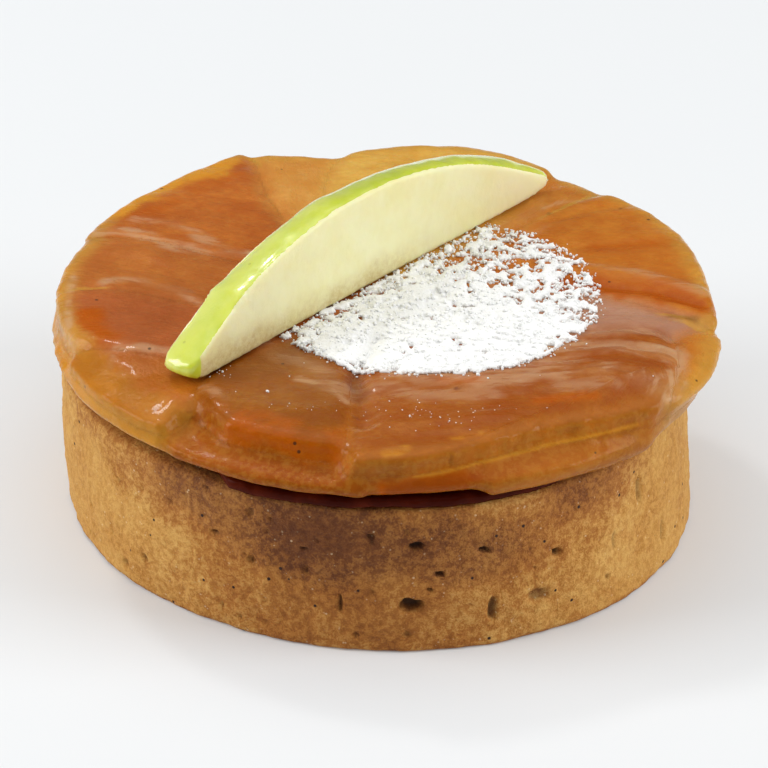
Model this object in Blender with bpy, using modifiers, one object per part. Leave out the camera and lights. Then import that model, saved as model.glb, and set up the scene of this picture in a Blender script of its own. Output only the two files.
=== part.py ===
"""A single-portion tarte tatin: a tall shortcrust base, a layer of dark caramel, two layers of
caramelised apple pieces, a slice of fresh green apple standing on its cut edge, and a patch of
icing sugar.

Units are metres with +Z up. The origin is the centre of the crust's underside, +X is the right
of the tart as it is served and +Y points away from its front. Angles run counter-clockwise from +X.
"""

import math
from dataclasses import dataclass

import bmesh
import bpy
from mathutils import Vector, noise

MM = 0.001
TART = "tarte_tatin"
TOUCH_GAP = 0.3 * MM
SMOOTH_LEVELS = 1

# Crust, baked in a plain ring 20 mm high
CRUST_RADIUS = 37.6 * MM
CRUST_HEIGHT = 19.0 * MM
CRUST_FOOT_ROUND = 0.6 * MM
CRUST_RIM_ROUND = 1.2 * MM
CRUST_ROUND_STEPS = 3
CRUST_SIDE_STEPS = 5
CRUST_BELLY = 0.2 * MM
CRUST_LEAN = 0.8 * MM
CRUST_WAIST = 1.0 * MM
CRUST_OVAL = 0.56 * MM
CRUST_OVAL_ANGLE = math.radians(-44)
CRUST_WAVE = 0.3 * MM
CRUST_WAVE_LENGTH = 9.0 * MM
CRUST_STEPS = 72

# Caramel between the crust and the apples
CARAMEL_CENTRE = Vector((-0.5, -0.4, 0.0)) * MM
CARAMEL_RADIUS = 35.5 * MM
CARAMEL_THICKNESS = 1.3 * MM
CARAMEL_ROUND = 0.4 * MM
CARAMEL_STEPS = 48

# Apple layers, from the caramel up
LOW_BOTTOM = CRUST_HEIGHT + CARAMEL_THICKNESS + 2 * TOUCH_GAP
LOW_TOP = 23.6 * MM
UPPER_BOTTOM = LOW_TOP + TOUCH_GAP
UPPER_TOP = 27.4 * MM
HUB = Vector((1.0, -1.5)) * MM
HUB_RADIUS = 3.2 * MM
LOW_BORDER_RADII_MM = (20.0, 37.2)
RIM_SWELL = 1.0 * MM
RIM_UNDERCUT = 0.4 * MM
RIM_SHOULDER = 0.5 * MM
SHOULDER_DEPTH = 0.7 * MM
SHOULDER_WIDTH = 0.8 * MM
SEAM_DEPTH = 0.25 * MM
SEAM_WIDTH = 0.2 * MM
FOOT_CREASE = 0.5
CORNER_CREASE = 0.8
LIP_WIDTH = 0.9 * MM
LIP_LIFT = 0.1 * MM
LOW_CORNER_DEG = 0.2

# Surfaces
MERGE_DISTANCE = 0.01 * MM
CRUST_ROUGHNESS = 0.75
CARAMEL_ROUGHNESS = 0.2
FLESH_ROUGHNESS = 0.3
SUGAR_ROUGHNESS = 0.95

# Fresh slice, standing on its cut edge
SLICE_START = Vector((-20.24, -23.24)) * MM
SLICE_HEADING = math.radians(51.5)
SLICE_FOOT = UPPER_TOP + 0.4 * MM
SLICE_SKIN_CROWN = 0.45 * MM
SLICE_CREASE = 0.7
# Places round a section where the foot and the skin's edges run: front foot, front top, back top,
# back foot
SLICE_EDGE_PLACES = (0, 2, 4, 6)
# Millimetres: distance along the foot, height of the front face, of the back face, thickness
SLICE_STATIONS = (
    (-2.4, 1.0, 1.0, 5.2),
    (0.4, 3.3, 2.2, 5.3),
    (3.5, 5.5, 4.4, 5.2),
    (9.6, 9.2, 8.2, 4.9),
    (16.7, 11.3, 10.4, 4.6),
    (24.9, 12.6, 12.0, 4.4),
    (35.0, 12.3, 11.7, 4.2),
    (44.7, 10.4, 10.2, 3.9),
    (52.7, 7.7, 8.1, 3.4),
    (58.8, 4.6, 5.6, 2.7),
    (66.2, 0.7, 1.0, 1.0),
)

# Icing sugar, sifted through a round stencil beside the slice
SUGAR_CENTRE = Vector((5.0, -1.0)) * MM
SUGAR_RADIUS = 21.2 * MM
SUGAR_MIDDLE_SHIFT = 4.0 * MM
SUGAR_RAGGED = 0.9 * MM
SUGAR_RAGGED_LOBES = 3.0
SUGAR_BOTTOM = UPPER_TOP + TOUCH_GAP
SUGAR_THICKNESS = 0.8 * MM
SUGAR_EDGE_THICKNESS = 0.35 * MM
SUGAR_CLUMP = 0.35 * MM
SUGAR_CLUMP_LENGTH = 3.0 * MM
SUGAR_SPOKES = 40
SUGAR_RINGS = 6
SUGAR_SLICE_GAP = 0.5 * MM
SUGAR_THIN_SPOT = Vector((16.5, 7.0)) * MM
SUGAR_THIN_RADIUS = 5.0 * MM
SUGAR_THIN_SHARE = 0.3
SUGAR_EDGE_POWER = 4

# Surface colours, linear
BAKED = (0.50, 0.26, 0.08)
DARK_CARAMEL = (0.06, 0.010, 0.004)
AMBER = (0.46, 0.15, 0.03)
ORANGE = (0.55, 0.21, 0.035)
RUSSET = (0.40, 0.11, 0.03)
HONEY = (0.60, 0.29, 0.06)
TAN = (0.50, 0.20, 0.04)
FLESH = (0.85, 0.78, 0.46)
WHITE = (0.90, 0.90, 0.88)


def plan(*points):
    """Gives plan points in metres from pairs of millimetres."""
    return [Vector(point) * MM for point in points]


def direction(angle_deg):
    """Gives the unit plan vector at an angle."""
    angle = math.radians(angle_deg)
    return Vector((math.cos(angle), math.sin(angle)))


def arc(first_deg, last_deg, *radii_mm):
    """Gives points at even angles about the tart's axis, one for each radius."""
    step = (last_deg - first_deg) / (len(radii_mm) - 1)
    return [direction(first_deg + step * i) * radius * MM for i, radius in enumerate(radii_mm)]


def hub(angle_deg):
    """Gives the point of the small ring in the middle where a border between pieces starts."""
    return HUB + direction(angle_deg) * HUB_RADIUS


def low_border(angle_deg):
    """Gives the straight border between two lower pieces."""
    return [hub(angle_deg)] + [direction(angle_deg) * radius * MM for radius in LOW_BORDER_RADII_MM]


# Borders between the upper pieces, each from the middle outwards
BACK_LEFT_BORDER = [hub(150)] + plan((-18.3, 5.9), (-25.5, 11.0), (-32.0, 12.9))
LEFT_BORDER = [hub(190)] + plan((-21.0, -6.6), (-28.0, -2.0), (-34.0, -0.8))
SLICE_BORDER = [hub(228)] + plan((-12.5, -12.8), (-19.3, -20.0))
LEFT_EDGE_BORDER = plan((-19.3, -20.0), (-26.5, -16.8), (-33.0, -14.8))
CORNER_BORDER = plan((-19.3, -20.0), (-21.9, -25.6))
FRONT_BORDER = [hub(268)] + plan((-3.6, -16.0), (-3.6, -27.7))
FRONT_RIGHT_BORDER = [hub(305)] + plan((15.5, -12.2), (24.6, -9.6), (33.4, -7.6))
RIGHT_END = plan((34.6, -14.4), (33.2, -21.6))
RIGHT_BORDER = [hub(345)] + plan((16.0, 2.6), (25.7, 0.6), (31.6, -3.0))
BACK_RIGHT_BORDER = [hub(28)] + plan((13.0, 13.5), (21.5, 23.1))
BACK_POINT_BORDER = [hub(58)] + plan((11.5, 16.5), (18.0, 27.0))
BACK_BORDER = [hub(88)] + plan((-3.2, 12.0), (-9.4, 25.8))
BACK_SMALL_BORDER = [hub(122)] + plan((-9.0, 9.5), (-15.6, 26.0), (-16.2, 34.4))


@dataclass(frozen=True)
class Piece:
    """One caramelised apple piece between two borders and an outer edge.

    Both borders run outwards, and the edge runs counter-clockwise from the first to the second.
    Slope lowers the edge's top, and droop lowers its underside over the crust's rim.
    """

    name: str
    first: list
    edge: list
    second: list
    colour: tuple
    bottom: float = UPPER_BOTTOM
    top: float = UPPER_TOP
    slope: float = 0.3 * MM
    droop: float = 0.0
    swell: float = RIM_SWELL
    undercut: float = RIM_UNDERCUT

    def outline(self):
        """Gives the counter-clockwise outline as pairs of a point and whether it is on the edge."""
        points = [(point, False) for point in self.first]
        points += [(point, True) for point in self.edge]
        points += [(point, False) for point in reversed(self.second)]
        return [pair for i, pair in enumerate(points)
                if (pair[0] - points[i - 1][0]).length > TOUCH_GAP]


def low_piece(name, first_deg, last_deg, radii_mm, colour, droop=0.0, undercut=RIM_UNDERCUT):
    """Gives a piece of the lower layer, which is a plain sector."""
    edge = arc(first_deg + LOW_CORNER_DEG, last_deg - LOW_CORNER_DEG, *radii_mm)
    return Piece(name, low_border(first_deg), edge, low_border(last_deg), colour, LOW_BOTTOM,
                 LOW_TOP, droop=droop, undercut=undercut)


UPPER_PIECES = (
    Piece("apple_top_back_left", BACK_SMALL_BORDER,
          arc(115.2, 160.3, 41.8, 40.8, 39.6, 39.3, 39.0, 38.6), BACK_LEFT_BORDER, ORANGE),
    Piece("apple_top_left", BACK_LEFT_BORDER,
          arc(160.6, 181.2, 38.1, 38.4, 38.6), LEFT_BORDER, AMBER),
    Piece("apple_top_front_left", LEFT_BORDER,
          arc(181.5, 199, 38.6, 38.4, 37.6), SLICE_BORDER + LEFT_EDGE_BORDER[1:], RUSSET),
    Piece("apple_top_left_edge", LEFT_EDGE_BORDER,
          arc(201, 231, 39.0, 39.4, 39.4, 38.8), CORNER_BORDER, TAN,
          top=UPPER_TOP - 0.5 * MM, slope=1.8 * MM),
    Piece("apple_top_front", SLICE_BORDER + CORNER_BORDER[1:],
          plan((-17.2, -31.7), (-9.6, -34.9), (-4.2, -35.8)), FRONT_BORDER, AMBER),
    Piece("apple_top_front_right", FRONT_BORDER,
          plan((-3.4, -39.0), (4.4, -38.2), (11.1, -34.4), (17.8, -30.6), (25.6, -28.0),
               (31.4, -25.0)),
          FRONT_RIGHT_BORDER + RIGHT_END, RUSSET, slope=0.5 * MM),
    Piece("apple_top_right_wedge", FRONT_RIGHT_BORDER + plan((35.2, -6.6)),
          plan((37.2, -5.4)), RIGHT_BORDER, RUSSET, top=UPPER_TOP - 0.2 * MM, swell=0.0),
    Piece("apple_top_right_edge", RIGHT_END[::-1][:1],
          arc(-36.5, -9.0, 40.4, 41.2, 41.0, 39.8), RIGHT_END[:1] + plan((35.0, -7.8)), HONEY,
          top=UPPER_TOP - 0.5 * MM, slope=0.7 * MM),
    Piece("apple_top_right", RIGHT_BORDER,
          arc(-7.5, 46.3, 39.4, 38.8, 39.2, 40.0, 40.6, 39.6), BACK_RIGHT_BORDER, ORANGE),
    Piece("apple_top_back_right", BACK_RIGHT_BORDER,
          arc(47.1, 57.8, 38.8, 39.6, 38.6), BACK_POINT_BORDER, TAN, top=UPPER_TOP - 0.2 * MM),
    Piece("apple_top_back", BACK_POINT_BORDER,
          arc(58.2, 97.8, 39.4, 41.2, 41.4, 40.2, 37.4), BACK_BORDER, HONEY, slope=-0.3 * MM),
    Piece("apple_top_back_small", BACK_BORDER,
          arc(98.1, 115.1, 36.6, 38.0, 40.2), BACK_SMALL_BORDER, ORANGE, slope=0.0),
)

LOW_PIECES = (
    low_piece("apple_low_left", 150, 190, (40.2, 39.8, 39.3, 39.1, 39.0), HONEY,
              undercut=1.2 * MM),
    low_piece("apple_low_front_left", 190, 232, (39.2, 39.4, 39.6, 39.4, 39.0), TAN,
              undercut=1.2 * MM),
    low_piece("apple_low_front", 232, 268, (39.0, 39.4, 39.6, 39.4), ORANGE),
    low_piece("apple_low_front_small", 268, 288, (38.4, 38.4, 38.2), AMBER),
    low_piece("apple_low_front_right", 288, 322, (38.8, 39.0, 39.4, 39.8), TAN, droop=1.1 * MM),
    low_piece("apple_low_right", 322, 362, (39.8, 39.8, 39.2, 38.8, 38.6), HONEY,
              undercut=0.9 * MM),
    low_piece("apple_low_back_right", 2, 48, (38.8, 38.6, 38.8, 38.6, 38.4), AMBER),
    low_piece("apple_low_back", 48, 97, (38.4, 38.8, 39.0, 38.6, 37.8), AMBER),
    low_piece("apple_low_back_left", 97, 150, (37.8, 38.4, 39.0, 39.6, 40.2), ORANGE),
)


def clear_scene():
    """Removes the objects of the start-up scene."""
    for item in list(bpy.data.objects):
        bpy.data.objects.remove(item, do_unlink=True)


def plain_material(name, colour, roughness):
    """Makes a material of one colour."""
    material = bpy.data.materials.new(name)
    material.use_nodes = True
    shader = material.node_tree.nodes["Principled BSDF"]
    shader.inputs["Base Color"].default_value = (*colour, 1.0)
    shader.inputs["Roughness"].default_value = roughness
    shader.inputs["Metallic"].default_value = 0.0
    return material


def add_object(collection, name, mesh, colour, roughness):
    """Links a smooth-shaded mesh into the tart's collection with a material of its own."""
    mesh.shade_smooth()
    item = bpy.data.objects.new(name, mesh)
    mesh.materials.clear()
    mesh.materials.append(plain_material(name + "_finish", colour, roughness))
    collection.objects.link(item)
    return item


def round_off(item):
    """Rounds a coarse cage with a subdivision surface."""
    smooth = item.modifiers.new("round", "SUBSURF")
    smooth.levels = SMOOTH_LEVELS
    smooth.render_levels = SMOOTH_LEVELS


def turned_mesh(collection, name, profile, steps):
    """Turns a profile of radius and height pairs, listed top to bottom, about the axis."""
    line = bpy.data.meshes.new(name + "_profile")
    points = [(radius, 0.0, height) for radius, height in profile]
    line.from_pydata(points, [(i, i + 1) for i in range(len(points) - 1)], [])
    item = bpy.data.objects.new(name + "_profile", line)
    collection.objects.link(item)
    screw = item.modifiers.new("turn", "SCREW")
    screw.steps = steps
    screw.render_steps = steps
    screw.use_merge_vertices = True
    screw.merge_threshold = MERGE_DISTANCE
    bpy.context.view_layer.update()
    turned = item.evaluated_get(bpy.context.evaluated_depsgraph_get())
    mesh = bpy.data.meshes.new_from_object(turned)
    mesh.name = name
    bpy.data.objects.remove(item, do_unlink=True)
    return mesh


def quarter_round(radius, height, size, start_deg):
    """Gives the points of a rounded corner, clockwise from the start angle."""
    centre = Vector((radius, height))
    angles = [start_deg - 90 * i / CRUST_ROUND_STEPS for i in range(CRUST_ROUND_STEPS + 1)]
    return [tuple(centre + direction(angle) * size) for angle in angles]


def crust_profile():
    """Gives the crust's profile: a rounded rim, a slight belly and a tighter foot."""
    rim = quarter_round(CRUST_RADIUS - CRUST_RIM_ROUND, CRUST_HEIGHT - CRUST_RIM_ROUND,
                        CRUST_RIM_ROUND, 90)
    foot = quarter_round(CRUST_RADIUS - CRUST_FOOT_ROUND, CRUST_FOOT_ROUND, CRUST_FOOT_ROUND, 0)
    side = []
    for i in range(1, CRUST_SIDE_STEPS):
        share = i / CRUST_SIDE_STEPS
        height = rim[-1][1] + (foot[0][1] - rim[-1][1]) * share
        side.append((CRUST_RADIUS + CRUST_BELLY * math.sin(math.pi * share), height))
    return [(0.0, CRUST_HEIGHT)] + rim + side + foot + [(0.0, 0.0)]


def crust_stretch(point):
    """Gives how far out the crust bulges: oval, leaning, waisted on its right and a little wavy."""
    angle = math.atan2(point.y, point.x)
    oval = CRUST_OVAL * math.cos(2 * (angle - CRUST_OVAL_ANGLE))
    height_share = point.z / CRUST_HEIGHT
    lean = -CRUST_LEAN * math.cos(angle) * height_share
    waist = CRUST_WAIST * max(0.0, math.cos(angle)) ** 2 * height_share
    wave = CRUST_WAVE * noise.noise(point / CRUST_WAVE_LENGTH)
    return oval + lean - waist + wave


def build_crust(collection):
    """Builds the pastry crust as one solid turned disc, slightly out of round."""
    mesh = turned_mesh(collection, "pastry_crust", crust_profile(), CRUST_STEPS)
    for vertex in mesh.vertices:
        radius = vertex.co.xy.length
        share = radius / CRUST_RADIUS
        if radius > 0.0:
            vertex.co.xy += vertex.co.xy.normalized() * crust_stretch(vertex.co) * share
    add_object(collection, "pastry_crust", mesh, BAKED, CRUST_ROUGHNESS)


def build_caramel(collection):
    """Builds the dark caramel layer on the crust."""
    bottom = CRUST_HEIGHT + TOUCH_GAP
    top = bottom + CARAMEL_THICKNESS
    inner = CARAMEL_RADIUS - CARAMEL_ROUND
    profile = [(0.0, top), (inner, top), (CARAMEL_RADIUS, top - CARAMEL_ROUND),
               (CARAMEL_RADIUS, bottom + CARAMEL_ROUND), (inner, bottom), (0.0, bottom)]
    mesh = turned_mesh(collection, "caramel_layer", profile, CARAMEL_STEPS)
    for vertex in mesh.vertices:
        vertex.co += CARAMEL_CENTRE
    add_object(collection, "caramel_layer", mesh, DARK_CARAMEL, CARAMEL_ROUGHNESS)


def inset(points, distance):
    """Moves the sides of a counter-clockwise outline inwards, with mitred corners."""
    moved = []
    for i, here in enumerate(points):
        before = (here - points[i - 1]).normalized()
        after = (points[(i + 1) % len(points)] - here).normalized()
        inward_before = Vector((-before.y, before.x))
        inward_after = Vector((-after.y, after.x))
        mitre = (inward_before + inward_after) / (1 + inward_before.dot(inward_after))
        moved.append(here + mitre * distance)
    return moved


def loft(bm, rings):
    """Joins rings of equally many points, bottom to top, and returns the two end faces."""
    loops = [[bm.verts.new(point) for point in ring] for ring in rings]
    for low, high in zip(loops, loops[1:]):
        for i in range(len(low)):
            j = (i + 1) % len(low)
            bm.faces.new((low[i], low[j], high[j], high[i]))
    return bm.faces.new(reversed(loops[0])), bm.faces.new(loops[-1])


def piece_rings(piece):
    """Gives a piece's underside, widest, shoulder and top rings.

    The outer edge has a broad shoulder, and the seams to other pieces only a narrow one.
    """
    pairs = piece.outline()
    on_edge = [edge for _, edge in pairs]
    points = inset([point for point, _ in pairs], TOUCH_GAP / 2)
    narrow = inset(points, SEAM_WIDTH)
    broad = inset(points, SHOULDER_WIDTH)
    middle = (piece.bottom + piece.top) / 2
    sections = (
        (points, piece.bottom, piece.bottom, -piece.undercut, piece.droop),
        (points, middle, middle, piece.swell, piece.droop / 2 + piece.slope / 2),
        (points, piece.top - SHOULDER_DEPTH, piece.top - SEAM_DEPTH, RIM_SHOULDER, piece.slope),
        (broad, piece.top, piece.top, RIM_SHOULDER, piece.slope),
    )
    rings = []
    for edge_points, edge_height, seam_height, out, drop in sections:
        seam_points = narrow if edge_points is broad else points
        ring = []
        for on_rim, edge_point, seam_point in zip(on_edge, edge_points, seam_points):
            if on_rim:
                place = edge_point + edge_point.normalized() * out
                ring.append((*place, edge_height - drop))
            else:
                ring.append((*seam_point, seam_height))
        rings.append(ring)
    return rings


def stiffen(bm, piece, corner_count):
    """Creases the foot and the corners of the outer edge, so that rounding keeps them."""
    on_edge = [edge for _, edge in piece.outline()]
    crease = bm.edges.layers.float.new("crease_edge")
    bm.verts.index_update()
    for edge in bm.edges:
        low, high = sorted(vertex.index for vertex in edge.verts)
        corner = low % corner_count
        ends_edge = on_edge[corner] and not (on_edge[corner - 1]
                                             and on_edge[(corner + 1) % corner_count])
        if high < corner_count:
            edge[crease] = FOOT_CREASE
        elif high - low == corner_count and ends_edge:
            edge[crease] = CORNER_CREASE


def build_piece(collection, piece):
    """Builds one apple piece as a rounded slab."""
    bm = bmesh.new()
    rings = piece_rings(piece)
    under = loft(bm, rings)[0]
    stiffen(bm, piece, len(rings[0]))
    if piece.droop:
        bmesh.ops.inset_region(bm, faces=[under], thickness=LIP_WIDTH, use_even_offset=True)
        for vertex in under.verts:
            vertex.co.z = piece.bottom + LIP_LIFT
    mesh = bpy.data.meshes.new(piece.name)
    bm.to_mesh(mesh)
    bm.free()
    round_off(add_object(collection, piece.name, mesh, piece.colour, FLESH_ROUGHNESS))


def slice_ring(station):
    """Gives one upright section of the fresh slice, from its front foot round to its back foot."""
    along, front, back, thickness = (value * MM for value in station)
    ahead = Vector((math.cos(SLICE_HEADING), math.sin(SLICE_HEADING)))
    rearward = Vector((-ahead.y, ahead.x))
    foot = SLICE_START + ahead * along
    crown = (front + back) / 2 + SLICE_SKIN_CROWN
    corners = ((0.0, 0.0), (0.0, front / 2), (0.0, front), (0.5, crown), (1.0, back),
               (1.0, back / 2), (1.0, 0.0))
    return [(*(foot + rearward * thickness * depth), SLICE_FOOT + height)
            for depth, height in corners]


def build_slice(collection):
    """Builds the fresh green apple slice, a thin crescent with a blunt front end."""
    bm = bmesh.new()
    loft(bm, [slice_ring(station) for station in SLICE_STATIONS])
    bmesh.ops.recalc_face_normals(bm, faces=bm.faces)
    crease = bm.edges.layers.float.new("crease_edge")
    corners = len(slice_ring(SLICE_STATIONS[0]))
    bm.verts.index_update()
    for edge in bm.edges:
        places = {vertex.index % corners for vertex in edge.verts}
        if len(places) == 1 and places.pop() in SLICE_EDGE_PLACES:
            edge[crease] = SLICE_CREASE
    mesh = bpy.data.meshes.new("fresh_apple_slice")
    bm.to_mesh(mesh)
    bm.free()
    round_off(add_object(collection, "fresh_apple_slice", mesh, FLESH, FLESH_ROUGHNESS))


def sugar_reach(middle, angle):
    """Gives how far the sugar reaches from its middle: to its ragged round edge or the slice."""
    ray = Vector((math.cos(angle), math.sin(angle)))
    ragged = SUGAR_RADIUS + SUGAR_RAGGED * noise.noise(ray.to_3d() * SUGAR_RAGGED_LOBES)
    offset = middle - SUGAR_CENTRE
    along = ray.dot(offset)
    reach = -along + math.sqrt(along * along + ragged * ragged - offset.length_squared)
    ahead = Vector((math.cos(SLICE_HEADING), math.sin(SLICE_HEADING)))
    frontward = Vector((ahead.y, -ahead.x))
    room = frontward.dot(middle - SLICE_START) - SUGAR_SLICE_GAP
    closing = -frontward.dot(ray)
    return min(reach, room / closing) if closing > 0.0 else reach


def sugar_height(point, share):
    """Gives the sugar's thickness at a point, thinner towards its edge and over a bare dip."""
    fall = (SUGAR_THICKNESS - SUGAR_EDGE_THICKNESS) * (1 - share ** SUGAR_EDGE_POWER)
    clump = SUGAR_CLUMP * noise.noise(point.to_3d() / SUGAR_CLUMP_LENGTH)
    dip = min(1.0, (point - SUGAR_THIN_SPOT).length / SUGAR_THIN_RADIUS)
    kept = SUGAR_THIN_SHARE + (1 - SUGAR_THIN_SHARE) * dip
    return max(SUGAR_EDGE_THICKNESS / 2, (SUGAR_EDGE_THICKNESS + fall + clump) * kept)


def build_sugar(collection):
    """Builds the sifted icing sugar as one thin lumpy patch."""
    ahead = Vector((math.cos(SLICE_HEADING), math.sin(SLICE_HEADING)))
    middle = SUGAR_CENTRE + Vector((ahead.y, -ahead.x)) * SUGAR_MIDDLE_SHIFT
    angles = [2 * math.pi * i / SUGAR_SPOKES for i in range(SUGAR_SPOKES)]
    reaches = [sugar_reach(middle, angle) for angle in angles]
    rings = [[(*(middle + Vector((math.cos(angle), math.sin(angle))) * reach), SUGAR_BOTTOM)
              for angle, reach in zip(angles, reaches)]]
    for i in range(SUGAR_RINGS):
        share = 1 - i / SUGAR_RINGS
        ring = []
        for angle, reach in zip(angles, reaches):
            point = middle + Vector((math.cos(angle), math.sin(angle))) * reach * share
            ring.append((*point, SUGAR_BOTTOM + sugar_height(point, share)))
        rings.append(ring)
    bm = bmesh.new()
    loft(bm, rings)
    mesh = bpy.data.meshes.new("icing_sugar")
    bm.to_mesh(mesh)
    bm.free()
    add_object(collection, "icing_sugar", mesh, WHITE, SUGAR_ROUGHNESS)


def main():
    """Builds the whole tart."""
    clear_scene()
    collection = bpy.data.collections.new(TART)
    bpy.context.scene.collection.children.link(collection)
    build_crust(collection)
    build_caramel(collection)
    for piece in LOW_PIECES + UPPER_PIECES:
        build_piece(collection, piece)
    build_slice(collection)
    build_sugar(collection)


main()
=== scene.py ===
"""Dresses a single-portion tarte tatin: a browned shortcrust base, dark caramel, two layers of
glazed apple, a slice of fresh green apple and a patch of sifted icing sugar.

Plan points and sizes given in millimetres say so in their names or comments. Everything else is
in metres. Angles run counter-clockwise from +X, seen from above.
"""

import logging
import math
from dataclasses import dataclass, field
from enum import Enum
from itertools import product
from typing import Iterable

import bmesh
import bpy
import numpy as np
from mathutils import Matrix, Vector
from mathutils.bvhtree import BVHTree


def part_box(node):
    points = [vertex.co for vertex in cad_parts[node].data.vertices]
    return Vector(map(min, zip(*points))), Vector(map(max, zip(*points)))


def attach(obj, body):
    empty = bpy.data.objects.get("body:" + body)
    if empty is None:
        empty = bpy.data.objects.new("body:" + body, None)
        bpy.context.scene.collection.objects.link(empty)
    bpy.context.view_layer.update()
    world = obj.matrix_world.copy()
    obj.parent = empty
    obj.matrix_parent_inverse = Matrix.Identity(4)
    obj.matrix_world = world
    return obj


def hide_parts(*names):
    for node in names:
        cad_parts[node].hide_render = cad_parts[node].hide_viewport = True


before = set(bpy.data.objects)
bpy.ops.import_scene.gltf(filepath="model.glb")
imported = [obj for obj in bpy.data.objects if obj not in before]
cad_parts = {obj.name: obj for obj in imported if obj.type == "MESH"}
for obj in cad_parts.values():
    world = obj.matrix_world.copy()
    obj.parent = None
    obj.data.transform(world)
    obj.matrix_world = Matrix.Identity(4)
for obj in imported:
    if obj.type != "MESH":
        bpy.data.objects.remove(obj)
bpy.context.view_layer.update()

log = logging.getLogger("tarte_tatin")

MM = 0.001
BODY = "root"
MERGE_DISTANCE = 0.001 * MM
MM_PER_DEGREE = 0.68
TINY = 1e-6
LUMP_UNEVEN = (0.72, 1.28)
HASH_PRIMES = (73856093, 19349663, 83492791)
SEED_PRIME = 7919
SEED_SHIFT = 17.31
HASH_MIXERS = ((13, 1274126177), (15, 668265263))

FlatPoint = tuple[float, float]
Band = tuple[float, float]
Colour = tuple[float, float, float]
Stretch = tuple[float, float, float]


class Tint(Enum):
    """The soft colour marks that are painted on the pieces, each a mesh attribute."""

    # PALE: pale membranes and pale skin, and on the apples also painted sheen
    PALE = "pale"
    AMBER = "amber"
    # DARK also carries painted shade: in the crust's pits and in the apples' hollows and along
    # their bottom edge
    DARK = "dark"
    SIDE = "side"
    # YELLOW: yellow patches, and on the apples' side one painted highlight line
    YELLOW = "yellow"
    BROWNED = "browned"
    SKIN = "skin"
    FOOT = "foot"


FLOW = "flow"
LIGHT_TONE = "light_tone"
DEEP_TONE = "deep_tone"


def step_up(values: np.ndarray, low: float, high: float) -> np.ndarray:
    """Gives a smooth step.

    Args:
        values: Where to read the step.
        low: The value at which the step leaves 0.
        high: The value at which it reaches 1; it may be the smaller of the two.

    Returns:
        Numbers between 0 and 1.
    """
    share = np.clip((values - low) / (high - low), 0.0, 1.0)
    return share * share * (3 - 2 * share)


def soft_noise(points: np.ndarray, size: float, seed: int) -> np.ndarray:
    """Gives smooth noise from hashed values on a grid.

    Args:
        points: Rows of three coordinates.
        size: The distance between the noise's lumps, in the points' unit.
        seed: Picks one of many like patterns.

    Returns:
        A number between -1 and 1 for each point.
    """
    grid = points / size + seed * SEED_SHIFT
    cell = np.floor(grid).astype(np.int64)
    part = grid - cell
    part = part * part * (3 - 2 * part)
    total = np.zeros(len(points))
    for corner in product((0, 1), repeat=3):
        key = (cell + corner) @ np.array(HASH_PRIMES) + seed * SEED_PRIME
        for shift, mixer in HASH_MIXERS:
            key = (key ^ (key >> shift)) * mixer & 0x7FFFFFFF
        value = (key >> 7 & 0xFFFF) / 0x7FFF - 1.0
        total += value * np.prod(np.where(corner, part, 1 - part), axis=1)
    return total


def rough_noise(points: np.ndarray, size: float, octaves: int, seed: int) -> np.ndarray:
    """Adds up soft noise at halving sizes.

    Args:
        points: Rows of three coordinates.
        size: The largest lumps' distance.
        octaves: How many sizes are added.
        seed: Picks one of many like patterns.

    Returns:
        A number of about -1 to 1 for each point.
    """
    total = np.zeros(len(points))
    for octave in range(octaves):
        total += soft_noise(points, size / 2 ** octave, seed + octave) / 2 ** octave
    return total / (2 - 0.5 ** (octaves - 1))


@dataclass(frozen=True)
class Noise:
    """One layer of noise: its largest lumps in millimetres, its octaves, its seed and height."""

    size: float
    octaves: int
    seed: int
    height: float = 1.0

    def at(self, points: np.ndarray) -> np.ndarray:
        """Gives the layer's value at points."""
        return rough_noise(points, self.size, self.octaves, self.seed) * self.height


def along_line(plan: np.ndarray, line: np.ndarray) -> tuple[np.ndarray, np.ndarray]:
    """Measures plan points along and across a polyline whose ends run on.

    Args:
        plan: Rows of two coordinates.
        line: The polyline's points, as rows.

    Returns:
        The distance along the line and the signed distance to its left.
    """
    along = np.zeros(len(plan))
    across = np.full(len(plan), np.inf)
    done = 0.0
    for i, (start, end) in enumerate(zip(line, line[1:])):
        span = end - start
        length = float(np.hypot(*span))
        unit = span / length
        offset = plan - start
        reach = offset @ unit
        low = -np.inf if i == 0 else 0.0
        high = np.inf if i == len(line) - 2 else length
        kept = np.clip(reach, low, high)
        gap = offset - kept[:, None] * unit
        side = np.where(unit[0] * offset[:, 1] - unit[1] * offset[:, 0] < 0, -1.0, 1.0)
        distance = np.hypot(gap[:, 0], gap[:, 1])
        nearer = distance < np.abs(across)
        along = np.where(nearer, done + kept, along)
        across = np.where(nearer, side * distance, across)
        done += length
    return along, across


def line_distance(plan: np.ndarray, line: np.ndarray) -> np.ndarray:
    """Gives the distance from plan points to a polyline, or to its one point.

    Args:
        plan: Rows of two coordinates.
        line: The polyline's points, as rows.

    Returns:
        The distance of each point.
    """
    if len(line) == 1:
        return np.hypot(*(plan - line[0]).T)
    best = np.full(len(plan), np.inf)
    for start, end in zip(line, line[1:]):
        span = end - start
        share = np.clip((plan - start) @ span / (span @ span), 0.0, 1.0)
        best = np.minimum(best, np.hypot(*(plan - start - share[:, None] * span).T))
    return best


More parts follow.
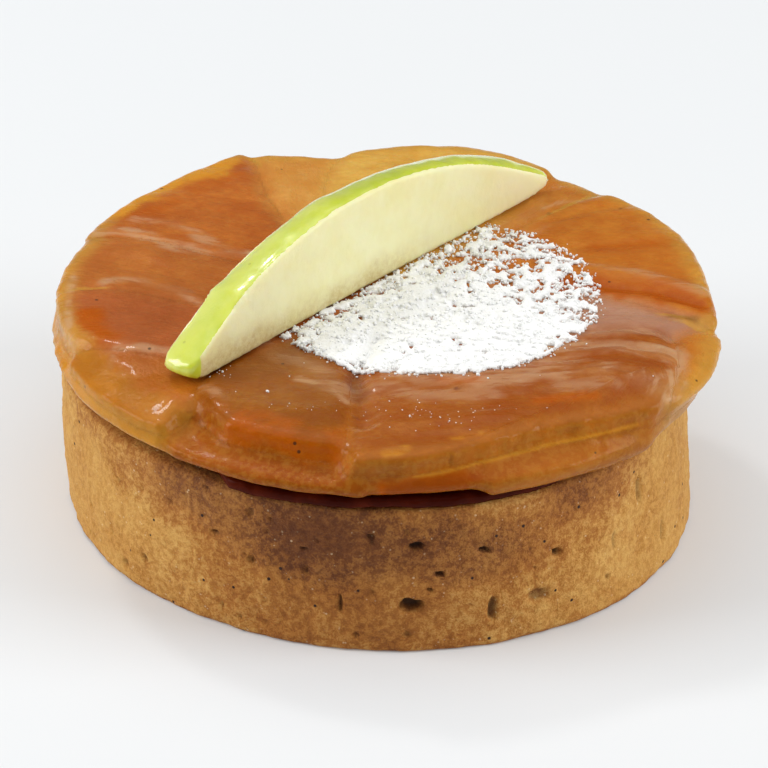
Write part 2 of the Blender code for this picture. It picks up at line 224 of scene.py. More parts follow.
@dataclass(frozen=True)
class Mark:
    """A soft stroke of colour on the top of the apples, in plan millimetres."""

    WANDER = 0.7
    CORE = 0.15
    TOP_BAND_MM = (24.6, 26.4)

    tint: Tint
    points: tuple[FlatPoint, ...]
    width: float
    strength: float = 1.0
    streaky: float = 0.4

    def cover(self, points_mm: np.ndarray, fibre: np.ndarray, wander: np.ndarray) -> np.ndarray:
        """Gives how strongly the mark covers each point.

        Args:
            points_mm: Points in millimetres, as rows.
            fibre: Fibre noise at the points, which breaks the mark up.
            wander: Noise that bends the mark's outline.

        Returns:
            Numbers between 0 and the mark's strength.
        """
        distance = line_distance(self._flat(points_mm), np.array(self.points))
        distance += wander * self.width * self.WANDER
        cover = step_up(distance, self.width, self.width * self.CORE) * self._reach(points_mm)
        return self.strength * cover * np.clip(1 - self.streaky + self.streaky * fibre * 2, 0, 1)

    @staticmethod
    def _flat(points_mm: np.ndarray) -> np.ndarray:
        """Lays the points flat as the mark's own points are."""
        return points_mm[:, :2]

    def _reach(self, points_mm: np.ndarray) -> np.ndarray:
        """Keeps the mark on the top of the upper layer."""
        return step_up(points_mm[:, 2], *self.TOP_BAND_MM)


@dataclass(frozen=True)
class SideMark(Mark):
    """A soft stroke of colour on the apples' sides, its points in degrees and millimetres up."""

    RIM_BAND_MM = (31.0, 35.0)

    @staticmethod
    def _flat(points_mm: np.ndarray) -> np.ndarray:
        """Lays the points flat as the mark's own points are."""
        angle = np.degrees(np.arctan2(points_mm[:, 1], points_mm[:, 0])) % 360
        return np.stack([angle * MM_PER_DEGREE, points_mm[:, 2]], axis=1)

    def _reach(self, points_mm: np.ndarray) -> np.ndarray:
        """Keeps the mark near the rim."""
        return step_up(np.hypot(points_mm[:, 0], points_mm[:, 1]), *self.RIM_BAND_MM)


def side_points(*places: FlatPoint) -> tuple[FlatPoint, ...]:
    """Gives a side mark's points from pairs of an angle in degrees and a height in millimetres."""
    return tuple((angle * MM_PER_DEGREE, height) for angle, height in places)


@dataclass(frozen=True)
class Fold:
    """A ridge, or with a negative height a groove, on the top of the apples, in millimetres."""

    WANDER = 0.3

    points: tuple[FlatPoint, ...]
    width: float
    height: float

    def rise(self, plan_mm: np.ndarray, wander: np.ndarray) -> np.ndarray:
        """Gives the fold's height at plan points, with its line bent by noise.

        Args:
            plan_mm: The points, as rows in millimetres.
            wander: The noise, one value a point.

        Returns:
            The heights in millimetres.
        """
        distance = line_distance(plan_mm, np.array(self.points))
        distance = distance + wander * self.width * self.WANDER
        return self.height * np.exp(-(distance / self.width) ** 2 * 2)


class Relief:
    """A finished object whose mesh is shaped and painted as arrays of numbers."""

    def __init__(self, item: bpy.types.Object) -> None:
        """Takes the object whose mesh is shaped.

        Args:
            item: The object.
        """
        self.item = item
        count = len(item.data.vertices)
        self.points = np.zeros(count * 3)
        item.data.vertices.foreach_get("co", self.points)
        self.points = self.points.reshape(-1, 3)

    @property
    def normals(self) -> np.ndarray:
        """The mesh's present vertex normals, as rows."""
        normals = np.zeros(len(self.points) * 3)
        self.item.data.vertex_normals.foreach_get("vector", normals)
        return normals.reshape(-1, 3)

    @property
    def points_mm(self) -> np.ndarray:
        """The points in millimetres."""
        return self.points / MM

    @property
    def plan_mm(self) -> np.ndarray:
        """The points' plan coordinates in millimetres."""
        return self.points[:, :2] / MM

    def polar(self) -> tuple[np.ndarray, np.ndarray, np.ndarray]:
        """Reads the points about the tart's axis.

        Returns:
            Their radius in millimetres, their angle in degrees and their unit direction outwards.
        """
        points = self.points_mm
        radius = np.hypot(points[:, 0], points[:, 1])
        angle = np.degrees(np.arctan2(points[:, 1], points[:, 0])) % 360
        return radius, angle, points * (1.0, 1.0, 0.0) / np.maximum(radius, TINY)[:, None]

    def write(self) -> None:
        """Puts the points back into the mesh."""
        self.item.data.vertices.foreach_set("co", self.points.astype(np.float32).ravel())
        self.item.data.update()

    def paint(self, name: str, values: np.ndarray) -> None:
        """Stores one number for each vertex as a mesh attribute."""
        layer = self.item.data.attributes.new(name, "FLOAT", "POINT")
        layer.data.foreach_set("value", values.astype(np.float32))

    def paint_vector(self, name: str, values: np.ndarray) -> None:
        """Stores three numbers for each vertex as a mesh attribute."""
        layer = self.item.data.attributes.new(name, "FLOAT_VECTOR", "POINT")
        layer.data.foreach_set("vector", values.astype(np.float32).ravel())


def laid_flat(plan: np.ndarray) -> np.ndarray:
    """Gives plan points a third coordinate of 0."""
    return np.concatenate([plan, np.zeros((len(plan), 1))], axis=1)


def link_object(name: str, mesh: bpy.types.Mesh) -> bpy.types.Object:
    """Adds an object with the given mesh, shaded smooth, to the scene.

    Args:
        name: The object's name.
        mesh: Its mesh.

    Returns:
        The new object.
    """
    mesh.shade_smooth()
    item = bpy.data.objects.new(name, mesh)
    bpy.context.scene.collection.objects.link(item)
    return item


def new_object(name: str, bm: bmesh.types.BMesh) -> bpy.types.Object:
    """Turns a bmesh into a smooth-shaded object in the scene and frees it.

    Args:
        name: The object's name.
        bm: The shape.

    Returns:
        The new object, at the origin.
    """
    mesh = bpy.data.meshes.new(name)
    bm.to_mesh(mesh)
    bm.free()
    return link_object(name, mesh)


def node_shape(node: str) -> bmesh.types.BMesh:
    """Gives a copy of a CAD node's mesh with its loose triangles merged.

    Args:
        node: The CAD node's name.

    Returns:
        The copy, for the caller to free.
    """
    bm = bmesh.new()
    bm.from_mesh(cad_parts[node].data)
    bmesh.ops.remove_doubles(bm, verts=bm.verts, dist=MERGE_DISTANCE)
    return bm


def apply_modifiers(item: bpy.types.Object) -> None:
    """Makes an object's evaluated mesh its own.

    Args:
        item: The object.
    """
    bpy.context.view_layer.update()
    evaluated = item.evaluated_get(bpy.context.evaluated_depsgraph_get())
    mesh = bpy.data.meshes.new_from_object(evaluated)
    item.modifiers.clear()
    item.data = mesh


def even_out(item: bpy.types.Object, voxel: float) -> None:
    """Remeshes an object as one closed, even skin.

    Args:
        item: The object.
        voxel: The skin's mesh width.
    """
    remesh = item.modifiers.new("even", "REMESH")
    remesh.mode = "VOXEL"
    remesh.voxel_size = voxel
    apply_modifiers(item)


def relax(item: bpy.types.Object, times: int) -> None:
    """Smooths an object's vertices a number of times.

    Args:
        item: The object.
        times: How many times.
    """
    bm = bmesh.new()
    bm.from_mesh(item.data)
    for _ in range(times):
        bmesh.ops.smooth_vert(bm, verts=bm.verts, factor=0.5, use_axis_x=True, use_axis_y=True,
                              use_axis_z=True)
    bm.to_mesh(item.data)
    bm.free()


def remeshed_node(node: str, name: str, voxel: float, times: int) -> bpy.types.Object:
    """Copies a CAD node as an even, fine mesh of its own.

    Args:
        node: The CAD node.
        name: The new object's name.
        voxel: The new mesh's spacing.
        times: How many times its vertices are smoothed.

    Returns:
        The new object.
    """
    item = new_object(name, node_shape(node))
    even_out(item, voxel)
    relax(item, times)
    item.data.shade_smooth()
    return item


def mount_piece(item: bpy.types.Object, material: bpy.types.Material, slot: str,
                *nodes: str) -> None:
    """Dresses a finished piece and ties it to the tart.

    Args:
        item: The piece.
        material: Its finish.
        slot: The record's material slot; not used.
        nodes: The CAD nodes that it stands for.
    """
    item.data.materials.clear()
    item.data.materials.append(material)
    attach(item, BODY)
    if nodes:
        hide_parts(*nodes)
    log.info("%s: %d faces", item.name, len(item.data.polygons))


def scatter(name: str, centres: np.ndarray, sizes: np.ndarray,
            rng: np.random.Generator) -> bpy.types.Object:
    """Makes many small uneven lumps as one mesh.

    Args:
        name: The object's name.
        centres: The lumps' places, as rows.
        sizes: Their three half sizes, as rows.
        rng: The seeded source of their unevenness and turn.

    Returns:
        The new object.
    """
    bm = bmesh.new()
    bmesh.ops.create_icosphere(bm, subdivisions=1, radius=1.0)
    corners = np.array([vertex.co for vertex in bm.verts])
    faces = np.array([[vertex.index for vertex in face.verts] for face in bm.faces])
    bm.free()
    count = len(centres)
    uneven = rng.uniform(*LUMP_UNEVEN, (count, len(corners), 1))
    lumps = corners[None] * uneven * sizes[:, None]
    turn = rng.uniform(0, 2 * math.pi, count)[:, None]
    turned = lumps.copy()
    turned[..., 0] = lumps[..., 0] * np.cos(turn) - lumps[..., 1] * np.sin(turn)
    turned[..., 1] = lumps[..., 0] * np.sin(turn) + lumps[..., 1] * np.cos(turn)
    turned += centres[:, None]
    joined = faces[None] + (np.arange(count) * len(corners))[:, None, None]
    mesh = bpy.data.meshes.new(name)
    mesh.from_pydata(turned.reshape(-1, 3).tolist(), [], joined.reshape(-1, 3).tolist())
    return link_object(name, mesh)


class NodeSheet:
    """Lays out a material's or a group's shader nodes and links them."""

    MIX_COLOURS = (6, 7)
    MIX_RESULT = 2
    SPECK_CORE = 0.6

    def __init__(self, tree: bpy.types.NodeTree) -> None:
        """Takes the node tree to fill."""
        self.tree = tree

    def add(self, kind: str, **settings: object) -> bpy.types.Node:
        """Adds a node and sets its properties.

        Args:
            kind: The node's type.
            settings: Its properties by name.

        Returns:
            The new node.
        """
        node = self.tree.nodes.new(kind)
        for name, value in settings.items():
            setattr(node, name, value)
        return node

    def link(self, source: object, target: bpy.types.NodeSocket) -> None:
        """Feeds a socket from another socket, or sets it to a plain value.

        Args:
            source: The other socket, or the value.
            target: The socket to feed.
        """
        if isinstance(source, bpy.types.NodeSocket):
            self.tree.links.new(source, target)
        else:
            target.default_value = source

    def fill(self, node: bpy.types.Node, values: dict[str, object]) -> None:
        """Feeds or sets some of a node's inputs by name."""
        for name, value in values.items():
            self.link(value, node.inputs[name])

    def place(self) -> bpy.types.NodeSocket:
        """Reads a point's place on its piece."""
        return self.add("ShaderNodeTexCoord").outputs["Object"]

    def math(self, operation: str, first: object, second: object) -> bpy.types.NodeSocket:
        """Adds a math node.

        Args:
            operation: The node's operation.
            first: Its first value or socket.
            second: Its second value or socket.

        Returns:
            The result's socket.
        """
        node = self.add("ShaderNodeMath", operation=operation)
        self.link(first, node.inputs[0])
        self.link(second, node.inputs[1])
        return node.outputs[0]

    def times(self, first: object, second: object) -> bpy.types.NodeSocket:
        """Multiplies two values."""
        return self.math("MULTIPLY", first, second)

    def spread(self, value: object, low: float, high: float, to_low: float = 0.0,
               to_high: float = 1.0) -> bpy.types.NodeSocket:
        """Maps a range of values smoothly onto another.

        Args:
            value: The value or socket that is mapped.
            low: The value that gives to_low.
            high: The value that gives to_high.
            to_low: The result at and below low.
            to_high: The result at and above high.

        Returns:
            The result's socket.
        """
        node = self.add("ShaderNodeMapRange", interpolation_type="SMOOTHSTEP")
        for place, number in enumerate((value, low, high, to_low, to_high)):
            self.link(number, node.inputs[place])
        return node.outputs[0]

    def mix(self, share: object, first: object, second: object) -> bpy.types.NodeSocket:
        """Mixes two colours.

        Args:
            share: How much of the second colour shows.
            first: The first colour or socket.
            second: The second colour or socket.

        Returns:
            The mixed colour's socket.
        """
        node = self.add("ShaderNodeMix", data_type="RGBA")
        self.link(share, node.inputs[0])
        for place, colour in zip(self.MIX_COLOURS, (first, second)):
            self.link((*colour, 1.0) if isinstance(colour, tuple) else colour,
                      node.inputs[place])
        return node.outputs[self.MIX_RESULT]

    def ramp(self, value: object, stops: tuple[tuple[float, Colour], ...]) -> bpy.types.NodeSocket:
        """Maps a value onto a row of colours.

        Args:
            value: The value or socket.
            stops: Pairs of a place between 0 and 1 and its colour, in order.

        Returns:
            The colour's socket.
        """
        node = self.add("ShaderNodeValToRGB")
        self.link(value, node.inputs[0])
        elements = node.color_ramp.elements
        while len(elements) < len(stops):
            elements.new(0.5)
        for element, (place, colour) in zip(elements, stops):
            element.position = place
            element.color = (*colour, 1.0)
        return node.outputs[0]

    def noise(self, vector: bpy.types.NodeSocket, scale: float, detail: float = 3.0,
              rough: float = 0.5) -> bpy.types.NodeSocket:
        """Adds a noise texture.

        Args:
            vector: The coordinates.
            scale: How many lumps there are to a unit.
            detail: How many finer sizes are added.
            rough: How strong the finer sizes are.

        Returns:
            The noise value's socket.
        """
        node = self.add("ShaderNodeTexNoise")
        self.fill(node, {"Vector": vector, "Scale": scale, "Detail": detail,
                         "Roughness": rough})
        return node.outputs[0]

    def specks(self, vector: bpy.types.NodeSocket, scale: float,
               size: float) -> bpy.types.NodeSocket:
        """Adds scattered dots.

        Args:
            vector: The coordinates.
            scale: How many cells there are to a unit.
            size: The dots' radius, as a share of a cell.

        Returns:
            A mask's socket.
        """
        node = self.add("ShaderNodeTexVoronoi")
        self.fill(node, {"Vector": vector, "Scale": scale})
        return self.spread(node.outputs["Distance"], size * self.SPECK_CORE, size, 1.0, 0.0)

    def attribute(self, tint: Tint) -> bpy.types.NodeSocket:
        """Reads one of the painted masks."""
        return self.add("ShaderNodeAttribute", attribute_name=tint.value).outputs["Fac"]


class SharedPatterns:
    """The shader node groups that several finishes use, each built once.

    Scales are in lumps to a metre, and for the fibres to a millimetre.
    """

    FIBRE_STRETCH = (0.26, 1.0, 0.6)
    WIDE_SHARE = 0.78
    FINE_RELIEF = 0.35
    FIBRE_BAND: Band = (0.34, 0.66)
    BLOTCH_BAND: Band = (0.36, 0.66)
    GRAIN_BAND: Band = (0.36, 0.64)
    COARSE_SHARE = 0.6
    CRUMB_BAND: Band = (0.33, 0.67)
    THINNED_BAND: Band = (0.58, 0.70)

    def __init__(self) -> None:
        """Builds both groups."""
        self.flesh = self._flesh()
        self.crumb_specks = self._crumb_specks()

    @staticmethod
    def _group(name: str, inputs: tuple[str, ...], outputs: tuple[str, ...]) -> NodeSheet:
        """Starts a node group.

        Args:
            name: The group's name.
            inputs: Its vector inputs.
            outputs: Its value outputs.

        Returns:
            The sheet to lay its nodes on.
        """
        tree = bpy.data.node_groups.new(name, "ShaderNodeTree")
        for socket in inputs:
            tree.interface.new_socket(socket, in_out="INPUT", socket_type="NodeSocketVector")
        for socket in outputs:
            tree.interface.new_socket(socket, in_out="OUTPUT", socket_type="NodeSocketFloat")
        return NodeSheet(tree)

    def _flesh(self) -> bpy.types.NodeTree:
        """Builds the pattern of cooked apple: fibres, blotches, vanilla specks and relief.

        Returns:
            The node group.
        """
        sheet = self._group("cooked_apple_pattern", ("Flow", "Place"),
                            ("Fibre", "Blotch", "Speck", "Grain", "Height"))
        source = sheet.add("NodeGroupInput")
        place = source.outputs["Place"]
        stretch = sheet.add("ShaderNodeVectorMath", operation="MULTIPLY")
        sheet.link(source.outputs["Flow"], stretch.inputs[0])
        sheet.link(self.FIBRE_STRETCH, stretch.inputs[1])
        wide = sheet.noise(stretch.outputs[0], scale=0.5, detail=3.0, rough=0.55)
        fine = sheet.noise(stretch.outputs[0], scale=1.6, detail=2.0, rough=0.5)
        fibre = sheet.math("ADD", sheet.times(wide, self.WIDE_SHARE),
                           sheet.times(fine, 1 - self.WIDE_SHARE))
        blotch = sheet.noise(place, scale=190.0, detail=4.0, rough=0.6)
        grain = sheet.noise(place, scale=1300.0, detail=4.0, rough=0.65)
        sheet.fill(sheet.add("NodeGroupOutput"), {
            "Fibre": sheet.spread(fibre, *self.FIBRE_BAND),
            "Blotch": sheet.spread(blotch, *self.BLOTCH_BAND),
            "Speck": sheet.specks(place, scale=210.0, size=0.055),
            "Grain": sheet.spread(grain, *self.GRAIN_BAND),
            "Height": sheet.math("ADD", sheet.times(fine, self.FINE_RELIEF), grain),
        })
        return sheet.tree

    def _crumb_specks(self) -> bpy.types.NodeTree:
        """Builds fine grain at two sizes with light and dark flecks, for pastry and flesh.

        Returns:
            The node group.
        """
        sheet = self._group("crumb_pattern", ("Place",), ("Grain", "Light", "Dark", "Height"))
        source = sheet.add("NodeGroupInput").outputs["Place"]
        coarse = sheet.noise(source, scale=1250.0, detail=4.0, rough=0.6)
        fine = sheet.noise(source, scale=4200.0, detail=3.0, rough=0.6)
        grain = sheet.math("ADD", sheet.times(coarse, self.COARSE_SHARE),
                           sheet.times(fine, 1 - self.COARSE_SHARE))
        thinned = sheet.spread(sheet.noise(source, scale=900.0, detail=2.0, rough=0.5),
                               *self.THINNED_BAND)
        sheet.fill(sheet.add("NodeGroupOutput"), {
            "Grain": sheet.spread(grain, *self.CRUMB_BAND),
            "Light": sheet.times(sheet.specks(source, scale=1700.0, size=0.3), thinned),
            "Dark": sheet.specks(source, scale=330.0, size=0.085),
            "Height": grain,
        })
        return sheet.tree


def start_material(name: str) -> tuple[NodeSheet, bpy.types.Node, bpy.types.Material]:
    """Starts a node material.

    Args:
        name: The material's name.

    Returns:
        Its node sheet, its Principled shader and the material.
    """
    material = bpy.data.materials.new(name)
    material.use_nodes = True
    return NodeSheet(material.node_tree), material.node_tree.nodes["Principled BSDF"], material


def add_bump(sheet: NodeSheet, shader: bpy.types.Node, height: bpy.types.NodeSocket,
             depth_mm: float) -> None:
    """Gives a shader fine relief.

    Args:
        sheet: The material's sheet.
        shader: Its Principled shader.
        height: The relief's height, from 0 to 1.
        depth_mm: The height's size in millimetres.
    """
    bump = sheet.add("ShaderNodeBump")
    sheet.fill(bump, {"Strength": 1.0, "Distance": depth_mm * MM, "Height": height})
    sheet.link(bump.outputs["Normal"], shader.inputs["Normal"])


@dataclass(frozen=True)
class Translucence:
    """How light wanders a little way under a surface."""

    weight: float
    radius: Colour
    scale_mm: float

    def inputs(self) -> dict[str, object]:
        """Gives the shader inputs' values by name."""
        return {"Subsurface Weight": self.weight, "Subsurface Radius": self.radius,
                "Subsurface Scale": self.scale_mm * MM}


@dataclass(frozen=True)
class Palette:
    """The colours of one piece of apple: its top, its deeper blotches, its side and its rim."""

    top: Colour
    deep: Colour
    side: Colour
    rim: Colour = (0.66, 0.33, 0.05)
    side_deep: float = 0.75  # how dark the deep colour is on side and rim

    def tones(self, side: np.ndarray, rim: np.ndarray) -> tuple[np.ndarray, np.ndarray]:
        """Gives the light and the deep colour of each vertex.

        Args:
            side: How much each vertex belongs to the side.
            rim: How much it belongs to the rim.

        Returns:
            Two arrays with a row for each vertex.
        """
        tones = []
        for top, edge in ((self.top, 1.0), (self.deep, self.side_deep)):
            tone = np.array(top) + side[:, None] * (np.array(self.side) * edge - top)
            tone += rim[:, None] * (np.array(self.rim) * edge - tone)
            tones.append(tone)
        return tones[0], tones[1]


@dataclass(frozen=True)
class AppleFinish:
    """Glazed, caramelised apple: translucent, fibrous and wet, with painted sheen and painted
    shade among its colours.
    """

    # pale: whitish membranes, and also painted sheen, the glaze's reflection of the bright
    # surround
    pale: Colour = (0.58, 0.36, 0.20)
    amber: Colour = (0.44, 0.086, 0.001)
    yellow: Colour = (0.64, 0.27, 0.020)
    # dark: dark spots, and also painted shade in the apples' hollows and along the gap under them
    dark: Colour = (0.10, 0.014, 0.003)
    speck: Colour = (0.05, 0.02, 0.010)
    fleck: Colour = (0.66, 0.34, 0.05)
    shine: Colour = (1.0, 0.62, 0.25)
    roughness: Band = (0.19, 0.37)
    glaze: Band = (0.16, 0.06)
    glaze_roughness: float = 0.05
    specular: float = 0.16
    grain: float = 0.5
    fibre_shade: Band = (0.0, 0.35)
    fleck_share: Band = (0.0, 0.16)
    membrane_and_sheen: Band = (0.25, 1.1)
    speck_share: float = 0.85
    depth: Translucence = Translucence(0.25, (1.0, 0.38, 0.12), 0.35)
    relief_mm: float = 0.11

    def material(self, name: str, patterns: SharedPatterns) -> bpy.types.Material:
        """Builds the material.

        Args:
            name: The material's name.
            patterns: The shared node groups.

        Returns:
            The material.
        """
        sheet, shader, material = start_material(name)
        flow, light, deep = (
            sheet.add("ShaderNodeAttribute", attribute_name=layer).outputs[output]
            for layer, output in ((FLOW, "Vector"), (LIGHT_TONE, "Color"), (DEEP_TONE, "Color")))
        group = sheet.add("ShaderNodeGroup", node_tree=patterns.flesh)
        sheet.fill(group, {"Flow": flow, "Place": sheet.place()})
        fibre, blotch, speck, grain, height = (
            group.outputs[part] for part in ("Fibre", "Blotch", "Speck", "Grain", "Height"))
        side = sheet.attribute(Tint.SIDE)
        crumbly = sheet.times(side, sheet.spread(grain, 0.1, 1.0, *self.fleck_share))
        # Pale membranes together with painted sheen, laid where the pale mask lies
        membrane_and_sheen = sheet.times(sheet.attribute(Tint.PALE),
                           sheet.spread(fibre, 0.1, 0.8, *self.membrane_and_sheen))
        colour = sheet.mix(blotch, deep, light)
        for share, tone in (
                (sheet.spread(fibre, 0.0, 1.0, *self.fibre_shade), deep),
                (sheet.times(grain, self.grain), deep),
                (crumbly, self.fleck),
                (sheet.attribute(Tint.AMBER), self.amber),
                (sheet.attribute(Tint.YELLOW), self.yellow),
                (membrane_and_sheen, self.pale),
                (sheet.attribute(Tint.DARK), self.dark),
                (sheet.times(speck, self.speck_share), self.speck)):
            colour = sheet.mix(share, colour, tone)
        sheet.fill(shader, {
            "Base Color": colour,
            "Roughness": sheet.spread(fibre, 0.0, 1.0, *self.roughness),
            "Specular IOR Level": self.specular,
            "Specular Tint": (*self.shine, 1.0),
            "Coat Roughness": self.glaze_roughness,
            "Coat Weight": sheet.spread(side, 0.0, 1.0, *self.glaze),
            **self.depth.inputs(),
        })
        add_bump(sheet, shader, height, self.relief_mm)
        return material


@dataclass(frozen=True)
class CrustFinish:
    """Browned shortcrust with sugar crystals, vanilla specks and a darker, sticky upper band; the
    crystals' pale flecks are partly painted glints, and the pits are painted with shade.
    """

    crumb: tuple[Colour, ...] = ((0.50, 0.225, 0.042), (0.61, 0.310, 0.074), (0.71, 0.41, 0.12))
    toasted: tuple[Colour, ...] = ((0.34, 0.110, 0.017), (0.43, 0.162, 0.029), (0.52, 0.23, 0.05))
    browned: tuple[Colour, ...] = ((0.110, 0.030, 0.007), (0.190, 0.060, 0.013),
                                   (0.30, 0.115, 0.026))
    # Pale sugar crystals and crumbs; their light flecks also stand in for tiny glints, so they are
    # partly painted highlights
    crystal_and_glint: Colour = (0.85, 0.68, 0.42)
    # vanilla: the vanilla specks, and also the painted shade in the pits
    vanilla: Colour = (0.030, 0.014, 0.010)
    places: tuple[float, ...] = (0.1, 0.5, 0.9)
    grain_tone: Band = (0.12, 0.55)
    cloud_tone: float = 0.33
    uneven: float = -0.5
    toasting: Band = (0.02, 0.5)
    browning: Band = (0.35, 0.95)
    crystal_and_glint_share: float = 0.5
    roughness: Band = (0.75, 0.5)
    specular: float = 0.2
    depth: Translucence = Translucence(0.15, (1.0, 0.5, 0.25), 0.5)
    relief_mm: float = 0.45

    def material(self, patterns: SharedPatterns) -> bpy.types.Material:
        """Builds the pastry's material.

        Args:
            patterns: The shared node groups.

        Returns:
            The material.
        """
        sheet, shader, material = start_material("browned_shortcrust")
        place = sheet.place()
        group = sheet.add("ShaderNodeGroup", node_tree=patterns.crumb_specks)
        sheet.link(place, group.inputs["Place"])
        cloud = sheet.spread(sheet.noise(place, scale=160.0, detail=4.0, rough=0.6), 0.3, 0.7)
        tone = sheet.math("ADD", sheet.spread(group.outputs["Grain"], 0.0, 1.0,
                                              *self.grain_tone),
                          sheet.times(cloud, self.cloud_tone))
        golden, toasted, dark = (sheet.ramp(tone, tuple(zip(self.places, colours)))
                                 for colours in (self.crumb, self.toasted, self.browned))
        browned = sheet.attribute(Tint.BROWNED)
        uneven = sheet.math("ADD", browned, sheet.times(sheet.math("SUBTRACT", tone, 0.5),
                                                        self.uneven))
        colour = golden
        for share, layer in (
                (sheet.spread(uneven, *self.toasting), toasted),
                (sheet.spread(uneven, *self.browning), dark),
                (sheet.times(group.outputs["Light"], self.crystal_and_glint_share), self.crystal_and_glint),
                (group.outputs["Dark"], self.vanilla),
                # Painted shade in the pits, in the vanilla specks' colour
                (sheet.attribute(Tint.DARK), self.vanilla)):
            colour = sheet.mix(share, colour, layer)
        sheet.fill(shader, {
            "Base Color": colour,
            "Roughness": sheet.spread(browned, 0.0, 1.0, *self.roughness),
            "Specular IOR Level": self.specular,
            **self.depth.inputs(),
        })
        add_bump(sheet, shader, group.outputs["Height"], self.relief_mm)
        return material


@dataclass(frozen=True)
class CaramelFinish:
    """Dark, glossy caramel, whose near-black colour is also painted shade of the gap under the
    apples.
    """

    # dark and red: the caramel's own colour, made near-black so that it also paints the shade in
    # the gap under the apples
    dark: Colour = (0.045, 0.0040, 0.001)
    red: Colour = (0.085, 0.009, 0.002)
    roughness: Band = (0.12, 0.3)
    specular: float = 0.03
    gloss: float = 0.02
    gloss_roughness: float = 0.12
    relief_mm: float = 0.1

    def material(self, name: str) -> bpy.types.Material:
        """Builds the material under the given name.

        Args:
            name: The material's name.

        Returns:
            The material.
        """
        sheet, shader, material = start_material(name)
        place = sheet.place()
        cloud = sheet.noise(place, scale=260.0, detail=3.0, rough=0.5)
        sheet.fill(shader, {
            "Base Color": sheet.mix(sheet.spread(cloud, 0.4, 0.7), self.dark, self.red),
            "Roughness": sheet.spread(cloud, 0.3, 0.7, *self.roughness),
            "Specular IOR Level": self.specular,
            "Coat Weight": self.gloss,
            "Coat Roughness": self.gloss_roughness,
        })
        relief = sheet.noise(place, scale=900.0, detail=2.0, rough=0.5)
        add_bump(sheet, shader, relief, self.relief_mm)
        return material


@dataclass(frozen=True)
class SliceFinish:
    """Fresh green apple: a waxy skin and moist, cream flesh that has browned at its foot."""

    skin: Colour = (0.64, 0.70, 0.045)
    skin_pale: Colour = (0.80, 0.83, 0.34)
    skin_deep: Colour = (0.50, 0.60, 0.03)
    flesh: Colour = (0.88, 0.86, 0.52)
    flesh_warm: Colour = (0.84, 0.79, 0.40)
    foot: Colour = (0.58, 0.45, 0.18)
    speck: Colour = (0.22, 0.24, 0.05)
    foot_even: float = 0.45
    skin_fine: float = 0.15
    speck_share: float = 0.35
    roughness: Band = (0.48, 0.24)
    wax: Band = (0.1, 0.9)
    wax_roughness: float = 0.07
    depth: Translucence = Translucence(0.6, (1.0, 0.8, 0.35), 1.2)
    relief_mm: float = 0.06

    def material(self, patterns: SharedPatterns) -> bpy.types.Material:
        """Builds the slice's material.

        Args:
            patterns: The shared node groups.

        Returns:
            The material.
        """
        sheet, shader, material = start_material("fresh_green_apple")
        place = sheet.place()
        group = sheet.add("ShaderNodeGroup", node_tree=patterns.crumb_specks)
        sheet.link(place, group.inputs["Place"])
        cloud, fine = (sheet.spread(sheet.noise(place, scale, detail, rough=0.6), 0.34, 0.66)
                       for scale, detail in ((110.0, 4.0), (600.0, 3.0)))
        flesh = sheet.mix(cloud, self.flesh_warm, self.flesh)
        crumbly = sheet.math("ADD", self.foot_even,
                             sheet.times(group.outputs["Grain"], 1 - self.foot_even))
        flesh = sheet.mix(sheet.times(sheet.attribute(Tint.FOOT), crumbly), flesh, self.foot)
        skin = sheet.mix(cloud, self.skin_deep, self.skin)
        for share, tone in (
                (sheet.times(fine, self.skin_fine), self.skin_pale),
                (sheet.attribute(Tint.PALE), self.skin_pale),
                (sheet.times(group.outputs["Dark"], self.speck_share), self.speck)):
            skin = sheet.mix(share, skin, tone)
        mask = sheet.spread(sheet.attribute(Tint.SKIN), 0.42, 0.58)
        sheet.fill(shader, {
            "Base Color": sheet.mix(mask, flesh, skin),
            "Roughness": sheet.spread(mask, 0.0, 1.0, *self.roughness),
            "Coat Weight": sheet.spread(mask, 0.0, 1.0, *self.wax),
            "Coat Roughness": self.wax_roughness,
            **self.depth.inputs(),
        })
        add_bump(sheet, shader, group.outputs["Height"], self.relief_mm)
        return material


@dataclass(frozen=True)
class SugarFinish:
    """Sifted icing sugar: bright, matte powder with faint grey shade between its clumps."""

    white: Colour = (0.95, 0.955, 0.945)
    shade: Colour = (0.91, 0.91, 0.89)
    roughness: Band = (0.8, 0.95)
    depth: Translucence = Translucence(0.4, (1.0, 1.0, 1.0), 0.3)
    relief_mm: float = 0.15

    def material(self, name: str) -> bpy.types.Material:
        """Builds the material under the given name.

        Args:
            name: The material's name.

        Returns:
            The material.
        """
        sheet, shader, material = start_material(name)
        powder = sheet.noise(sheet.place(), scale=2600.0, detail=3.0, rough=0.6)
        sheet.fill(shader, {
            "Base Color": sheet.mix(sheet.spread(powder, 0.35, 0.6), self.shade, self.white),
            "Roughness": sheet.spread(powder, 0.3, 0.7, *self.roughness),
            **self.depth.inputs(),
        })
        add_bump(sheet, shader, powder, self.relief_mm)
        return material


@dataclass(frozen=True)
class FloorFinish:
    """The studio's plain pale sweep."""

    white: Colour = (0.67, 0.69, 0.705)
    warmth: Colour = (1.0, 0.995, 0.985)
    glow: float = 0.12
    roughness: float = 0.7
    specular: float = 0.2

    def material(self) -> bpy.types.Material:
        """Builds the floor's material.

        Returns:
            The material.
        """
        sheet, shader, material = start_material("studio_floor")
        cloud = sheet.noise(sheet.place(), scale=3.0, detail=2.0, rough=0.5)
        warm = tuple(part * share for part, share in zip(self.white, self.warmth))
        sheet.fill(shader, {
            "Base Color": sheet.mix(cloud, self.white, warm),
            "Emission Color": (1.0, 1.0, 1.0, 1.0),
            "Emission Strength": self.glow,
            "Roughness": self.roughness,
            "Specular IOR Level": self.specular,
        })
        return material


